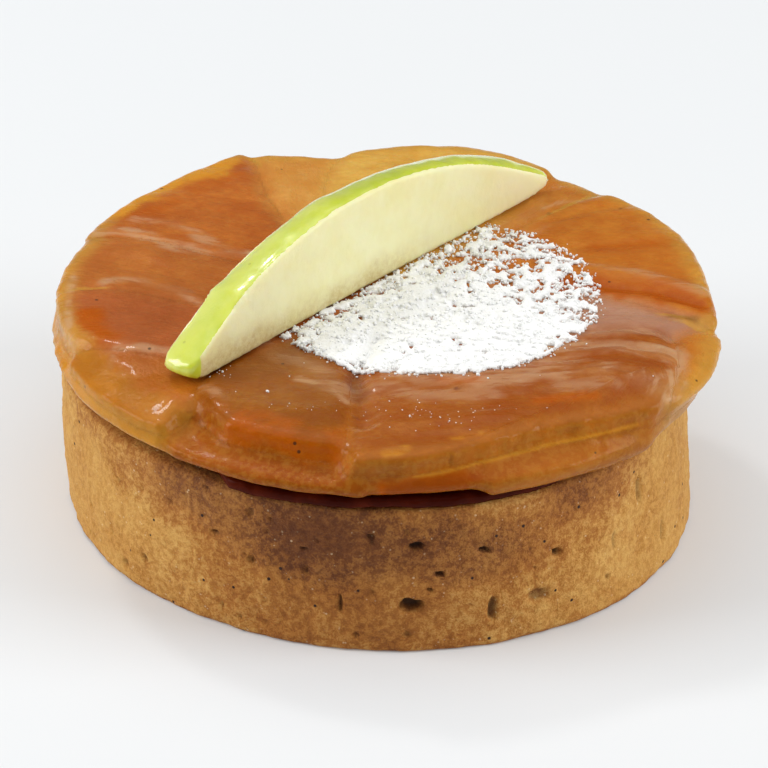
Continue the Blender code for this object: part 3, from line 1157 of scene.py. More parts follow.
class GlazeSkin:
    """The closed surface that the glaze makes over all the apples and across their grooves.

    A plug of glaze fills the middle, where the pieces' tips meet under the sugar.
    """

    CORE_PLACE = (1.0 * MM, -1.5 * MM)
    CORE_RADIUS = 4.4 * MM
    CORE_FOOT = 21.5 * MM
    CORE_TOP = 27.35 * MM
    CORE_SIDES = 32
    RELAX_TIMES = 3

    def __init__(self, nodes: list[str], bridge: float, voxel: float) -> None:
        """Swells and shrinks the joined pieces, so that what is narrower than the swell closes.

        Args:
            nodes: The apple pieces' CAD nodes.
            bridge: How far the shape swells and shrinks again.
            voxel: The spacing of its mesh.
        """
        bm = bmesh.new()
        for node in nodes:
            bm.from_mesh(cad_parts[node].data)
        core = Matrix.Translation((*self.CORE_PLACE, (self.CORE_TOP + self.CORE_FOOT) / 2))
        bmesh.ops.create_cone(bm, cap_ends=True, segments=self.CORE_SIDES,
                              radius1=self.CORE_RADIUS, radius2=self.CORE_RADIUS,
                              depth=self.CORE_TOP - self.CORE_FOOT, matrix=core)
        self.item = new_object("glaze_skin", bm)
        for distance in (bridge, -bridge):
            even_out(self.item, voxel)
            relief = Relief(self.item)
            relief.points += relief.normals * distance
            relief.write()
        even_out(self.item, voxel)
        relax(self.item, self.RELAX_TIMES)

    def tree(self) -> BVHTree:
        """Gives a search tree over the skin.

        Returns:
            The tree.
        """
        bm = bmesh.new()
        bm.from_mesh(self.item.data)
        tree = BVHTree.FromBMesh(bm)
        bm.free()
        return tree


@dataclass
class ApplePiece:
    """One piece of cooked apple: its CAD node, its colours and the way its fibres run."""

    SEED_SHIFT_MM = 3.0

    node: str
    palette: Palette
    fibres: tuple[FlatPoint, ...]
    slot: str
    fibre_depth: float = 0.06
    seed: int = 1

    def flow(self, points_mm: np.ndarray) -> np.ndarray:
        """Gives coordinates along and across the fibres.

        Args:
            points_mm: Points in millimetres, as rows.

        Returns:
            A row for each point.
        """
        along, across = along_line(points_mm[:, :2], np.array(self.fibres))
        return np.stack([along, across, points_mm[:, 2]], axis=1) + self.seed * self.SEED_SHIFT_MM


class PieceFinder:
    """Finds which pieces of apple lie nearest to points of the glaze."""

    def __init__(self, pieces: list[ApplePiece]) -> None:
        """Gathers all the pieces, and all but each one.

        Args:
            pieces: The pieces of both layers.
        """
        self.pieces = pieces
        self.all_faces = self._gather(range(len(pieces)))
        self.others = [self._gather(place for place in range(len(pieces)) if place != own)
                       for own in range(len(pieces))]

    def _gather(self, places: Iterable[int]) -> tuple[BVHTree, list[int]]:
        """Gives a search tree over some pieces' CAD faces and each face's piece.

        Args:
            places: The pieces' places in the list.

        Returns:
            The tree, and the place of the piece that each of its faces belongs to.
        """
        bm = bmesh.new()
        owners: list[int] = []
        for place in places:
            bm.from_mesh(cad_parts[self.pieces[place].node].data)
            owners += [place] * (len(bm.faces) - len(owners))
        bm.faces.index_update()
        tree = BVHTree.FromBMesh(bm)
        bm.free()
        return tree, owners

    def find(self, points: np.ndarray) -> tuple[np.ndarray, np.ndarray, np.ndarray]:
        """Finds the two nearest pieces.

        Args:
            points: The points, as rows.

        Returns:
            The nearest piece's place in the list, the second's, and how much farther off it is.
        """
        first = np.zeros(len(points), dtype=int)
        second = np.zeros(len(points), dtype=int)
        gap = np.zeros(len(points))
        tree, owners = self.all_faces
        for i, point in enumerate(points):
            place = Vector(point)
            _, _, face, near = tree.find_nearest(place)
            first[i] = owners[face]
            other_tree, other_owners = self.others[first[i]]
            _, _, face, far = other_tree.find_nearest(place)
            second[i] = other_owners[face]
            gap[i] = far - near
        return first, second, gap


class RimLine:
    """The topping's outer outline, read from the CAD pieces by rays from outside."""

    SPOKES = 720
    START = 60.0 * MM
    MISSED_MM = 38.0

    def __init__(self, nodes: list[str], height: float) -> None:
        """Finds the outline.

        Args:
            nodes: The pieces' CAD nodes.
            height: The height at which they are widest.
        """
        shape = joined_tree(nodes)
        self.angles = np.linspace(-math.pi, math.pi, self.SPOKES, endpoint=False)
        radii = []
        for angle in self.angles:
            out = Vector((math.cos(angle), math.sin(angle), 0.0))
            hit = shape.ray_cast(out * self.START + Vector((0.0, 0.0, height)), -out)[0]
            radii.append(hit.xy.length / MM if hit else self.MISSED_MM)
        self.radii = np.array(radii)

    def inside_mm(self, plan_mm: np.ndarray) -> np.ndarray:
        """Gives how far plan points lie inside the outline, in millimetres.

        Args:
            plan_mm: The points, as rows in millimetres.

        Returns:
            The distances, below 0 outside.
        """
        angle = np.arctan2(plan_mm[:, 1], plan_mm[:, 0])
        reach = np.interp(angle, self.angles, self.radii, period=2 * math.pi)
        return reach - np.hypot(plan_mm[:, 0], plan_mm[:, 1])


def joined_tree(nodes: list[str]) -> BVHTree:
    """Gives a search tree over several CAD nodes.

    Args:
        nodes: The nodes' names.

    Returns:
        The tree.
    """
    bm = bmesh.new()
    for node in nodes:
        bm.from_mesh(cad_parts[node].data)
    tree = BVHTree.FromBMesh(bm)
    bm.free()
    return tree


# Membranes, streaks and patches of the glazed top and of the sides; the pale strokes also carry
# painted sheen, some dark strokes are painted shade and one thin yellow line is a painted
# highlight
MARKS = (
    Mark(Tint.PALE, ((-35.1, 14.4), (-31.4, 14.3), (-27.8, 11.8), (-25.0, 9.5), (-21.7, 8.6),
                     (-17.0, 8.0)), 1.5, 0.55, 1.0),
    Mark(Tint.PALE, ((-30.5, 17.6), (-26.4, 16.2), (-23.0, 13.3), (-20.7, 11.0), (-18.3, 8.7)),
         1.5, 0.45, 1.0),
    Mark(Tint.PALE, ((-33.0, 0.6), (-30.0, 1.2), (-26.7, -0.3), (-24.4, -1.7), (-20.9, -5.4)),
         1.3, 0.5, 1.0),
    Mark(Tint.PALE, ((-31.0, -15.6), (-27.8, -15.6), (-23.6, -17.0)), 1.0, 0.5, 0.8),
    Mark(Tint.PALE, ((-31.7, -19.2), (-30.9, -16.0)), 0.8, 0.35, 0.8),
    Mark(Tint.PALE, ((-37.1, 3.4), (-37.2, -4.8), (-36.7, -10.6), (-35.8, -15.0)), 0.8, 0.5, 0.4),
    Mark(Tint.PALE, ((-16.5, -12.2), (-9.5, -18.3), (-3.6, -25.2)), 2.4, 0.30, 0.7),
    Mark(Tint.PALE, ((-9.4, -22.6), (-4.8, -25.7), (-4.0, -27.5)), 0.9, 0.45, 0.5),
    Mark(Tint.PALE, ((-20.5, -24.5), (-17.6, -27.5)), 1.0, 0.4, 0.5),
    Mark(Tint.PALE, ((19.0, -14.6), (27.5, -13.4), (33.5, -13.6), (34.4, -17.0),
                     (32.6, -23.0)), 2.4, 0.62, 0.8),
    Mark(Tint.PALE, ((12.5, -22.3), (20.4, -19.6), (27.3, -18.6), (31.0, -21.3)), 2.0, 0.5, 1.0),
    Mark(Tint.PALE, ((24.6, -10.2), (30.0, -9.0), (34.0, -9.4)), 1.1, 0.5, 0.8),
    Mark(Tint.PALE, ((34.6, -12.0), (35.2, -16.0), (34.4, -20.0)), 0.9, 0.3, 0.6),
    Mark(Tint.PALE, ((23.5, 7.4), (31.8, 5.0), (38.0, 1.6)), 1.4, 0.32, 0.7),
    Mark(Tint.PALE, ((19.6, 23.2), (22.1, 25.0), (24.1, 25.4)), 0.7, 0.5, 0.3),
    Mark(Tint.AMBER, ((-24.0, 26.5), (-19.0, 30.5)), 2.6, 0.4),
    Mark(Tint.AMBER, ((-31.0, 18.6), (-26.0, 22.0)), 2.4, 0.45),
    Mark(Tint.AMBER, ((-34.6, -7.2), (-34.0, -10.0), (-32.4, -13.1)), 2.6, 0.95, 0.2),
    Mark(Tint.AMBER, ((7.0, -22.5), (11.0, -22.0)), 1.3, 0.6, 0.7),
    Mark(Tint.AMBER, ((18.0, -26.0), (24.0, -24.5)), 1.5, 0.6, 0.7),
    Mark(Tint.AMBER, ((25.0, 12.0), (32.5, 14.0)), 2.0, 0.6, 0.5),
    Mark(Tint.AMBER, ((20.0, 3.0), (31.6, 1.1), (37.6, -1.4)), 3.0, 1.0, 0.1),
    # Painted shade: the next two dark strokes lie in the right-hand groove and in the hollow
    # between the two front pieces
    Mark(Tint.DARK, ((22.0, 2.8), (31.6, 1.0), (37.0, -1.2)), 1.8, 0.18, 0.3),
    Mark(Tint.DARK, ((-1.5, -14.0), (-3.2, -19.0), (-2.6, -26.0)), 1.6, 0.4, 0.3),
    Mark(Tint.DARK, ((34.0, -4.4), (36.5, -4.6)), 1.0, 0.5),
    Mark(Tint.DARK, ((-25.7, -27.3),), 0.6, 0.8, 0.0),
    Mark(Tint.DARK, ((-2.9, -30.3),), 0.4, 0.7, 0.0),
    Mark(Tint.DARK, ((8.5, -24.2),), 0.45, 0.8, 0.0),
    Mark(Tint.DARK, ((20.1, 21.6),), 0.4, 0.7, 0.0),
    Mark(Tint.DARK, ((29.0, 23.7),), 0.4, 0.7, 0.0),
    Mark(Tint.DARK, ((35.3, 18.2),), 0.4, 0.7, 0.0),
    Mark(Tint.YELLOW, ((0.6, -38.0), (1.8, -37.6)), 1.0, 0.5, 0.6),
    Mark(Tint.YELLOW, ((2.9, -36.9),), 0.8, 0.4, 0.5),
    Mark(Tint.YELLOW, ((8.0, -34.4), (9.0, -34.2)), 0.7, 0.35, 0.6),
    Mark(Tint.YELLOW, ((11.3, -33.2),), 0.7, 0.3, 0.6),
    Mark(Tint.PALE, ((-2.0, -16.5), (4.0, -21.5), (14.0, -21.0), (22.0, -16.0)), 3.4, 0.44, 0.4),
    Mark(Tint.PALE, ((-0.5, -24.0), (5.0, -25.5), (12.0, -25.0)), 2.2, 0.3, 0.5),
    Mark(Tint.PALE, ((19.0, -23.4), (26.0, -21.6)), 1.8, 0.35, 0.7),
    Mark(Tint.YELLOW, ((-34.0, 20.5), (-28.0, 27.0), (-21.0, 33.0)), 3.6, 0.9, 0.35),
    SideMark(Tint.AMBER, side_points((243.0, 25.8), (262.0, 25.4)), 1.7, 0.85, 0.2),
    SideMark(Tint.AMBER, side_points((271.0, 22.0), (284.0, 23.0)), 1.5, 1.0, 0.15),
    SideMark(Tint.DARK, side_points((272.0, 22.0), (284.0, 22.8)), 1.2, 0.42, 0.2),
    # Painted highlight: a thin yellow line along the upper pieces' lower edge
    SideMark(Tint.YELLOW, side_points((276.0, 23.6), (288.0, 24.0), (300.0, 24.2),
                                      (318.0, 24.4)), 0.3, 0.6, 0.7),
    SideMark(Tint.YELLOW, side_points((190.0, 23.4), (214.0, 22.8), (228.0, 22.2)), 1.3, 0.45,
             0.4),
    # Painted shade along the bottom edge of the lower apples, over the shadowed gap under them
    SideMark(Tint.DARK, side_points((236.0, 20.9), (256.0, 20.8)), 0.5, 0.35, 0.2),
    SideMark(Tint.AMBER, side_points((20.0, 24.0), (44.0, 25.2)), 1.8, 0.6, 0.4),
    SideMark(Tint.AMBER, side_points((84.0, 23.0), (104.0, 24.4)), 1.6, 0.55, 0.5),
    SideMark(Tint.AMBER, side_points((128.0, 24.8), (150.0, 24.0)), 1.8, 0.5, 0.5),
    SideMark(Tint.YELLOW, side_points((50.0, 22.6), (76.0, 23.0)), 0.9, 0.5, 0.5),
    SideMark(Tint.YELLOW, side_points((108.0, 22.8), (122.0, 23.6)), 0.9, 0.45, 0.6),
    Mark(Tint.AMBER, ((14.0, 24.0), (20.0, 31.0)), 2.6, 0.5, 0.5),
    Mark(Tint.AMBER, ((-4.0, 20.0), (2.0, 31.0)), 2.2, 0.45, 0.6),
    Mark(Tint.PALE, ((-2.0, 24.0), (6.0, 27.0), (14.0, 24.5)), 1.2, 0.4, 1.0),
)
# Ridges and hollows of the glazed top; the first is the hollow between the two front pieces
FOLDS = (
    Fold(((-1.0, -13.0), (-3.0, -19.0), (-2.6, -25.0), (-1.8, -32.0)), 1.7, -0.75),
    Fold(((-33.0, 9.5), (-24.0, 5.0), (-18.0, 3.0)), 2.2, 0.2),
    Fold(((20.0, 6.8), (31.8, 4.6), (38.0, 1.6)), 1.8, 0.4),
    Fold(((20.0, 3.0), (31.6, 1.0), (37.6, -1.6)), 1.5, -0.4),
    Fold(((23.0, 12.4), (33.0, 14.0)), 2.0, -0.3),
    Fold(((-33.0, 14.8), (-27.0, 12.2), (-20.0, 9.2)), 1.0, 0.08),
    Fold(((-29.0, 1.6), (-24.0, -1.4), (-20.0, -5.6)), 0.9, 0.07),
    Fold(((16.0, -21.0), (24.0, -19.2), (30.0, -20.4)), 1.0, 0.12),
    Fold(((18.0, -17.2), (26.0, -15.8), (32.0, -17.5)), 0.9, -0.12),
    Fold(((4.0, 12.0), (6.0, 24.0), (4.0, 36.0)), 1.8, -0.3),
    Fold(((-12.0, 16.0), (-15.0, 27.0), (-17.0, 35.0)), 1.6, -0.3),
    Fold(((14.0, 14.0), (24.0, 22.0), (30.0, 25.0)), 1.6, -0.25),
)


@dataclass
class Topping:
    """Both layers of cooked apple."""

    LOWER_RADIUS_MM = 38
    LOWER_RIM = 1.08
    LOWER_SEED = 20

    upper: list[ApplePiece] = field(init=False)
    lower: list[ApplePiece] = field(init=False)
    widest_height: float = 25.2 * MM
    bridge: float = 2.0 * MM
    voxel: float = 0.36 * MM
    grow: float = 0.08 * MM
    seam_depth: float = 0.02 * MM
    blend_mm: float = 2.6
    thickness: float = 0.5 * MM
    crease_deg: float = 50.0
    fibre_stretch: Stretch = (0.16, 1.0, 0.6)
    fibre_noise: Noise = Noise(0.9, 3, 1)
    broad_stretch: Stretch = (0.11, 0.4, 0.24)
    broad_noise: Noise = Noise(1.2, 2, 6, 1.6)
    wander_noise: Noise = Noise(2.4, 4, 40)
    lumps: tuple[Noise, ...] = (Noise(6.0, 2, 60, 0.16), Noise(1.6, 2, 64, 0.05),
                                Noise(0.8, 1, 67, 0.022))
    inner_gap: Band = (0.2 * MM, 1.8 * MM)
    seam_gap: Band = (0.9 * MM, 0.0)
    top_height: Band = (25.0 * MM, 26.6 * MM)
    side_tilt: Band = (0.72, 0.35)
    side_inside_mm: Band = (3.5, 1.5)
    rim_share: float = 0.75
    rim_wander_mm: float = 1.2
    rim_inside_mm: Band = (3.4, 0.6)
    rim_height: Band = (23.4 * MM, 25.4 * MM)
    blend_wander: float = 0.35
    low_height: Band = (25.2 * MM, 23.8 * MM)
    steep_tilt: Band = (0.75, 0.35)

    def __post_init__(self) -> None:
        """Lists the pieces."""
        self.upper = self._upper_pieces()
        self.lower = self._lower_pieces()

    @staticmethod
    def _upper_pieces() -> list[ApplePiece]:
        """Gives the twelve pieces of the upper layer, anticlockwise from the back left.

        Returns:
            The pieces, without their meshes.
        """
        return [
            ApplePiece("apple_top_back_left",
                       Palette((0.53, 0.165, 0.026), (0.41, 0.100, 0.014), (0.66, 0.33, 0.05)),
                       ((-34.0, 22.0), (-8.0, 12.0)), "orange_apple", seed=1),
            ApplePiece("apple_top_left",
                       Palette((0.53, 0.180, 0.034), (0.42, 0.118, 0.020), (0.57, 0.25, 0.04)),
                       ((-36.0, 8.0), (-18.0, 1.0)), "amber_apple", seed=2),
            ApplePiece("apple_top_front_left",
                       Palette((0.46, 0.125, 0.032), (0.38, 0.095, 0.022), (0.54, 0.20, 0.03)),
                       ((-36.0, -6.0), (-14.0, -9.0)), "russet_apple", seed=3,
                       fibre_depth=0.03),
            ApplePiece("apple_top_left_edge",
                       Palette((0.47, 0.140, 0.014), (0.40, 0.105, 0.008), (0.53, 0.21, 0.018),
                               (0.54, 0.200, 0.016)),
                       ((-35.0, -14.0), (-22.0, -27.0)), "tan_apple", seed=4),
            ApplePiece("apple_top_front",
                       Palette((0.31, 0.098, 0.008), (0.24, 0.060, 0.003), (0.42, 0.090, 0.002),
                               (0.38, 0.095, 0.005)),
                       ((-22.0, -22.0), (-4.0, -24.0)), "amber_apple", seed=5),
            ApplePiece("apple_top_front_right",
                       Palette((0.385, 0.120, 0.015), (0.30, 0.066, 0.006), (0.44, 0.120, 0.005),
                               (0.45, 0.138, 0.012)),
                       ((-4.0, -21.0), (14.0, -17.5), (27.5, -15.0), (32.5, -16.5),
                        (33.2, -21.0), (30.4, -28.0)), "russet_apple", seed=6,
                       fibre_depth=0.19),
            # Its pinkish-pale colours are partly painted sheen, the glaze's reflection of the
            # bright surround
            ApplePiece("apple_top_right_wedge",
                       Palette((0.46, 0.240, 0.150), (0.40, 0.185, 0.105), (0.50, 0.18, 0.03)),
                       ((10.0, -5.0), (36.0, -6.0)), "russet_apple", seed=7),
            ApplePiece("apple_top_right_edge",
                       Palette((0.58, 0.21, 0.026), (0.50, 0.16, 0.017), (0.60, 0.26, 0.05)),
                       ((38.0, -8.0), (34.0, -22.0)), "honey_apple", seed=8),
            ApplePiece("apple_top_right",
                       Palette((0.57, 0.20, 0.022), (0.47, 0.13, 0.012), (0.62, 0.29, 0.040)),
                       ((10.0, 4.0), (38.0, 9.0)), "orange_apple", seed=9),
            ApplePiece("apple_top_back_right",
                       Palette((0.58, 0.23, 0.036), (0.49, 0.165, 0.022), (0.62, 0.30, 0.05)),
                       ((10.0, 12.0), (22.0, 30.0)), "tan_apple", seed=10),
            # Painted reflection: its pale colours are partly the bright surround reflected in the
            # glaze at the grazing back, besides the apple's honey tone
            ApplePiece("apple_top_back",
                       Palette((0.70, 0.42, 0.090), (0.61, 0.31, 0.05), (0.74, 0.47, 0.11)),
                       ((-6.0, 34.0), (18.0, 30.0)), "honey_apple", seed=11),
            ApplePiece("apple_top_back_small",
                       Palette((0.65, 0.32, 0.075), (0.56, 0.23, 0.04), (0.71, 0.42, 0.10)),
                       ((-8.0, 12.0), (-13.0, 34.0)), "orange_apple", seed=12),
        ]

    def _lower_pieces(self) -> list[ApplePiece]:
        """Gives the nine pieces of the lower layer, of which only the sides show.

        Returns:
            The pieces, without their meshes.
        """
        looks = (
            ("left", "honey_apple", (0.58, 0.27, 0.030), (0.48, 0.18, 0.018), 170),
            ("front_left", "tan_apple", (0.54, 0.225, 0.022), (0.46, 0.15, 0.012), 211),
            ("front", "orange_apple", (0.36, 0.085, 0.005), (0.29, 0.060, 0.003), 250),
            ("front_small", "amber_apple", (0.36, 0.080, 0.004), (0.28, 0.045, 0.002), 278),
            ("front_right", "tan_apple", (0.44, 0.135, 0.013), (0.36, 0.09, 0.007), 305),
            ("right", "honey_apple", (0.50, 0.22, 0.05), (0.42, 0.15, 0.03), 342),
            ("back_right", "amber_apple", (0.50, 0.20, 0.04), (0.42, 0.14, 0.02), 25),
            ("back", "amber_apple", (0.50, 0.20, 0.04), (0.42, 0.14, 0.02), 72),
            ("back_left", "orange_apple", (0.50, 0.20, 0.04), (0.42, 0.14, 0.02), 123),
        )
        pieces = []
        for i, (name, slot, top, deep, angle) in enumerate(looks):
            out, turn = math.radians(angle), math.radians(angle + 90)
            start = (self.LOWER_RADIUS_MM * math.cos(out), self.LOWER_RADIUS_MM * math.sin(out))
            end = (start[0] + math.cos(turn), start[1] + math.sin(turn))
            rim = tuple(part * self.LOWER_RIM for part in top)
            pieces.append(ApplePiece("apple_low_" + name, Palette(top, deep, top, rim),
                                     (start, end), slot, seed=self.LOWER_SEED + i))
        return pieces

    def build(self, patterns: SharedPatterns) -> BVHTree:
        """Makes every piece.

        Args:
            patterns: The shared node groups.

        Returns:
            A search tree over the glazed surface.
        """
        pieces = self.lower + self.upper
        skin = GlazeSkin([piece.node for piece in pieces], self.bridge, self.voxel)
        relief = Relief(skin.item)
        relief.points += relief.normals * self.grow
        relief.write()
        first, second, gap = PieceFinder(pieces).find(relief.points)
        flow, fibre = self._fibres(pieces, relief, first)
        wander = self.wander_noise.at(relief.points_mm)
        self._shape(pieces, relief, first, gap, flow, fibre, wander)
        self._paint(pieces, relief, (first, second, gap), flow, fibre, wander)
        self._share_out(pieces, skin.item, first, patterns)
        tree = skin.tree()
        bpy.data.objects.remove(skin.item)
        return tree

    def _fibres(self, pieces: list[ApplePiece], relief: Relief,
                first: np.ndarray) -> tuple[np.ndarray, np.ndarray]:
        """Gives the coordinates along the fibres and the fibre noise of every vertex.

        Args:
            pieces: All the pieces.
            relief: The whole skin.
            first: The place of each vertex's piece.

        Returns:
            The coordinates as rows and the noise.
        """
        flow = np.zeros_like(relief.points)
        for place, piece in enumerate(pieces):
            own = first == place
            flow[own] = piece.flow(relief.points[own] / MM)
        return flow, self.fibre_noise.at(flow * self.fibre_stretch)

    def _shape(self, pieces: list[ApplePiece], relief: Relief, first: np.ndarray,
               gap: np.ndarray, flow: np.ndarray, fibre: np.ndarray,
               wander: np.ndarray) -> None:
        """Gives the skin its fibres, soft lumps, folds and shallow seams.

        Args:
            pieces: All the pieces.
            relief: The whole skin.
            first: The place of each vertex's piece.
            gap: How much farther off the next piece is.
            flow: Coordinates along and across the fibres.
            fibre: Fibre noise.
            wander: Noise that bends outlines.
        """
        depth = np.array([piece.fibre_depth for piece in pieces])[first]
        broad = self.broad_noise.at(flow * self.broad_stretch)
        ripple = (fibre + broad) * depth * step_up(gap, *self.inner_gap)
        for layer in self.lumps:
            ripple += layer.at(relief.points_mm)
        relief.points += relief.normals * (ripple * MM)[:, None]
        top_share = step_up(relief.points[:, 2], *self.top_height)
        plan = relief.plan_mm
        relief.points[:, 2] -= self.seam_depth * step_up(gap, *self.seam_gap) * top_share
        for fold in FOLDS:
            relief.points[:, 2] += fold.rise(plan, wander) * top_share * MM
        relief.write()

    def _paint(self, pieces: list[ApplePiece], relief: Relief,
               nearest: tuple[np.ndarray, np.ndarray, np.ndarray], flow: np.ndarray,
               fibre: np.ndarray, wander: np.ndarray) -> None:
        """Stores the skin's colours and masks.

        Args:
            pieces: All the pieces.
            relief: The whole skin.
            nearest: The two nearest pieces' places and the second's extra distance.
            flow: Coordinates along and across the fibres.
            fibre: Fibre noise.
            wander: Noise that bends outlines.
        """
        first, second, gap = nearest
        rim = RimLine([piece.node for piece in self.upper], self.widest_height)
        inside = rim.inside_mm(relief.plan_mm)
        tilt = relief.normals[:, 2]
        height = relief.points[:, 2]
        side = step_up(tilt, *self.side_tilt) * step_up(inside, *self.side_inside_mm)
        edge = self.rim_share * step_up(inside + wander * self.rim_wander_mm,
                                        *self.rim_inside_mm)
        edge *= step_up(height, *self.rim_height)
        blend = gap / MM * (1 + self.blend_wander * wander)
        share = 0.5 * step_up(blend, self.blend_mm, 0.0)[:, None]
        light, deep = np.zeros_like(relief.points), np.zeros_like(relief.points)
        for place, piece in enumerate(pieces):
            tones = piece.palette.tones(side, edge)
            for owner, part in ((first, 1.0 - share), (second, share)):
                here = (owner == place)[:, None] * part
                light += here * tones[0]
                deep += here * tones[1]
        low = step_up(height, *self.low_height)
        relief.paint(Tint.SIDE.value, np.maximum(low, step_up(tilt, *self.steep_tilt)))
        relief.paint_vector(FLOW, flow)
        relief.paint_vector(LIGHT_TONE, light)
        relief.paint_vector(DEEP_TONE, deep)
        points = relief.points_mm
        for tint in (Tint.PALE, Tint.AMBER, Tint.YELLOW, Tint.DARK):
            cover = np.zeros(len(points))
            for mark in MARKS:
                if mark.tint is tint:
                    cover = np.maximum(cover, mark.cover(points, fibre * 0.5 + 0.5, wander))
            relief.paint(tint.value, cover)

    def _share_out(self, pieces: list[ApplePiece], skin: bpy.types.Object, first: np.ndarray,
                   patterns: SharedPatterns) -> None:
        """Cuts the skin into one closed shell for each piece of apple.

        Args:
            pieces: All the pieces.
            skin: The whole skin, shaped and painted.
            first: The place of each vertex's piece.
            patterns: The shared node groups.
        """
        finishes = {slot: AppleFinish().material(slot + "_finish", patterns)
                    for slot in sorted({piece.slot for piece in pieces})}
        corners = np.zeros(len(skin.data.loops), dtype=int)
        skin.data.loops.foreach_get("vertex_index", corners)
        corners = corners.reshape(-1, 4)
        owners = np.sort(first[corners], axis=1)[:, 1]
        for place, piece in enumerate(pieces):
            name = piece.node.replace("apple_", "glazed_apple_")
            item = self._cut_out(skin, corners[owners == place], name)
            shell = item.modifiers.new("thickness", "SOLIDIFY")
            shell.thickness = self.thickness
            shell.offset = -1.0
            apply_modifiers(item)
            item.data.set_sharp_from_angle(angle=math.radians(self.crease_deg))
            mount_piece(item, finishes[piece.slot], piece.slot, piece.node)

    @staticmethod
    def _cut_out(skin: bpy.types.Object, faces: np.ndarray, name: str) -> bpy.types.Object:
        """Copies some of the skin's faces with their colours and masks.

        Args:
            skin: The whole skin.
            faces: The wanted faces, as rows of four vertex numbers.
            name: The new object's name.

        Returns:
            The new object.
        """
        kept, places = np.unique(faces, return_inverse=True)
        points = Relief(skin).points[kept]
        mesh = bpy.data.meshes.new(name)
        mesh.from_pydata(points.tolist(), [], places.reshape(-1, 4).tolist())
        item = link_object(name, mesh)
        relief = Relief(item)
        for tint in (Tint.SIDE, Tint.PALE, Tint.AMBER, Tint.YELLOW, Tint.DARK):
            values = np.zeros(len(skin.data.vertices))
            skin.data.attributes[tint.value].data.foreach_get("value", values)
            relief.paint(tint.value, values[kept])
        for layer in (FLOW, LIGHT_TONE, DEEP_TONE):
            values = np.zeros(len(skin.data.vertices) * 3)
            skin.data.attributes[layer].data.foreach_get("vector", values)
            relief.paint_vector(layer, values.reshape(-1, 3)[kept])
        return item


@dataclass(frozen=True)
class Pit:
    """A hollow or crack in the crust's side: its place, half width, half height and depth."""

    angle_deg: float
    height_mm: float
    width_mm: float
    tall_mm: float
    depth_mm: float


@dataclass(frozen=True)
class Blotch:
    """A browned patch of the crust's side: its place, half width in degrees and half height."""

    angle_deg: float
    height_mm: float
    half_deg: float
    tall_mm: float
    strength: float


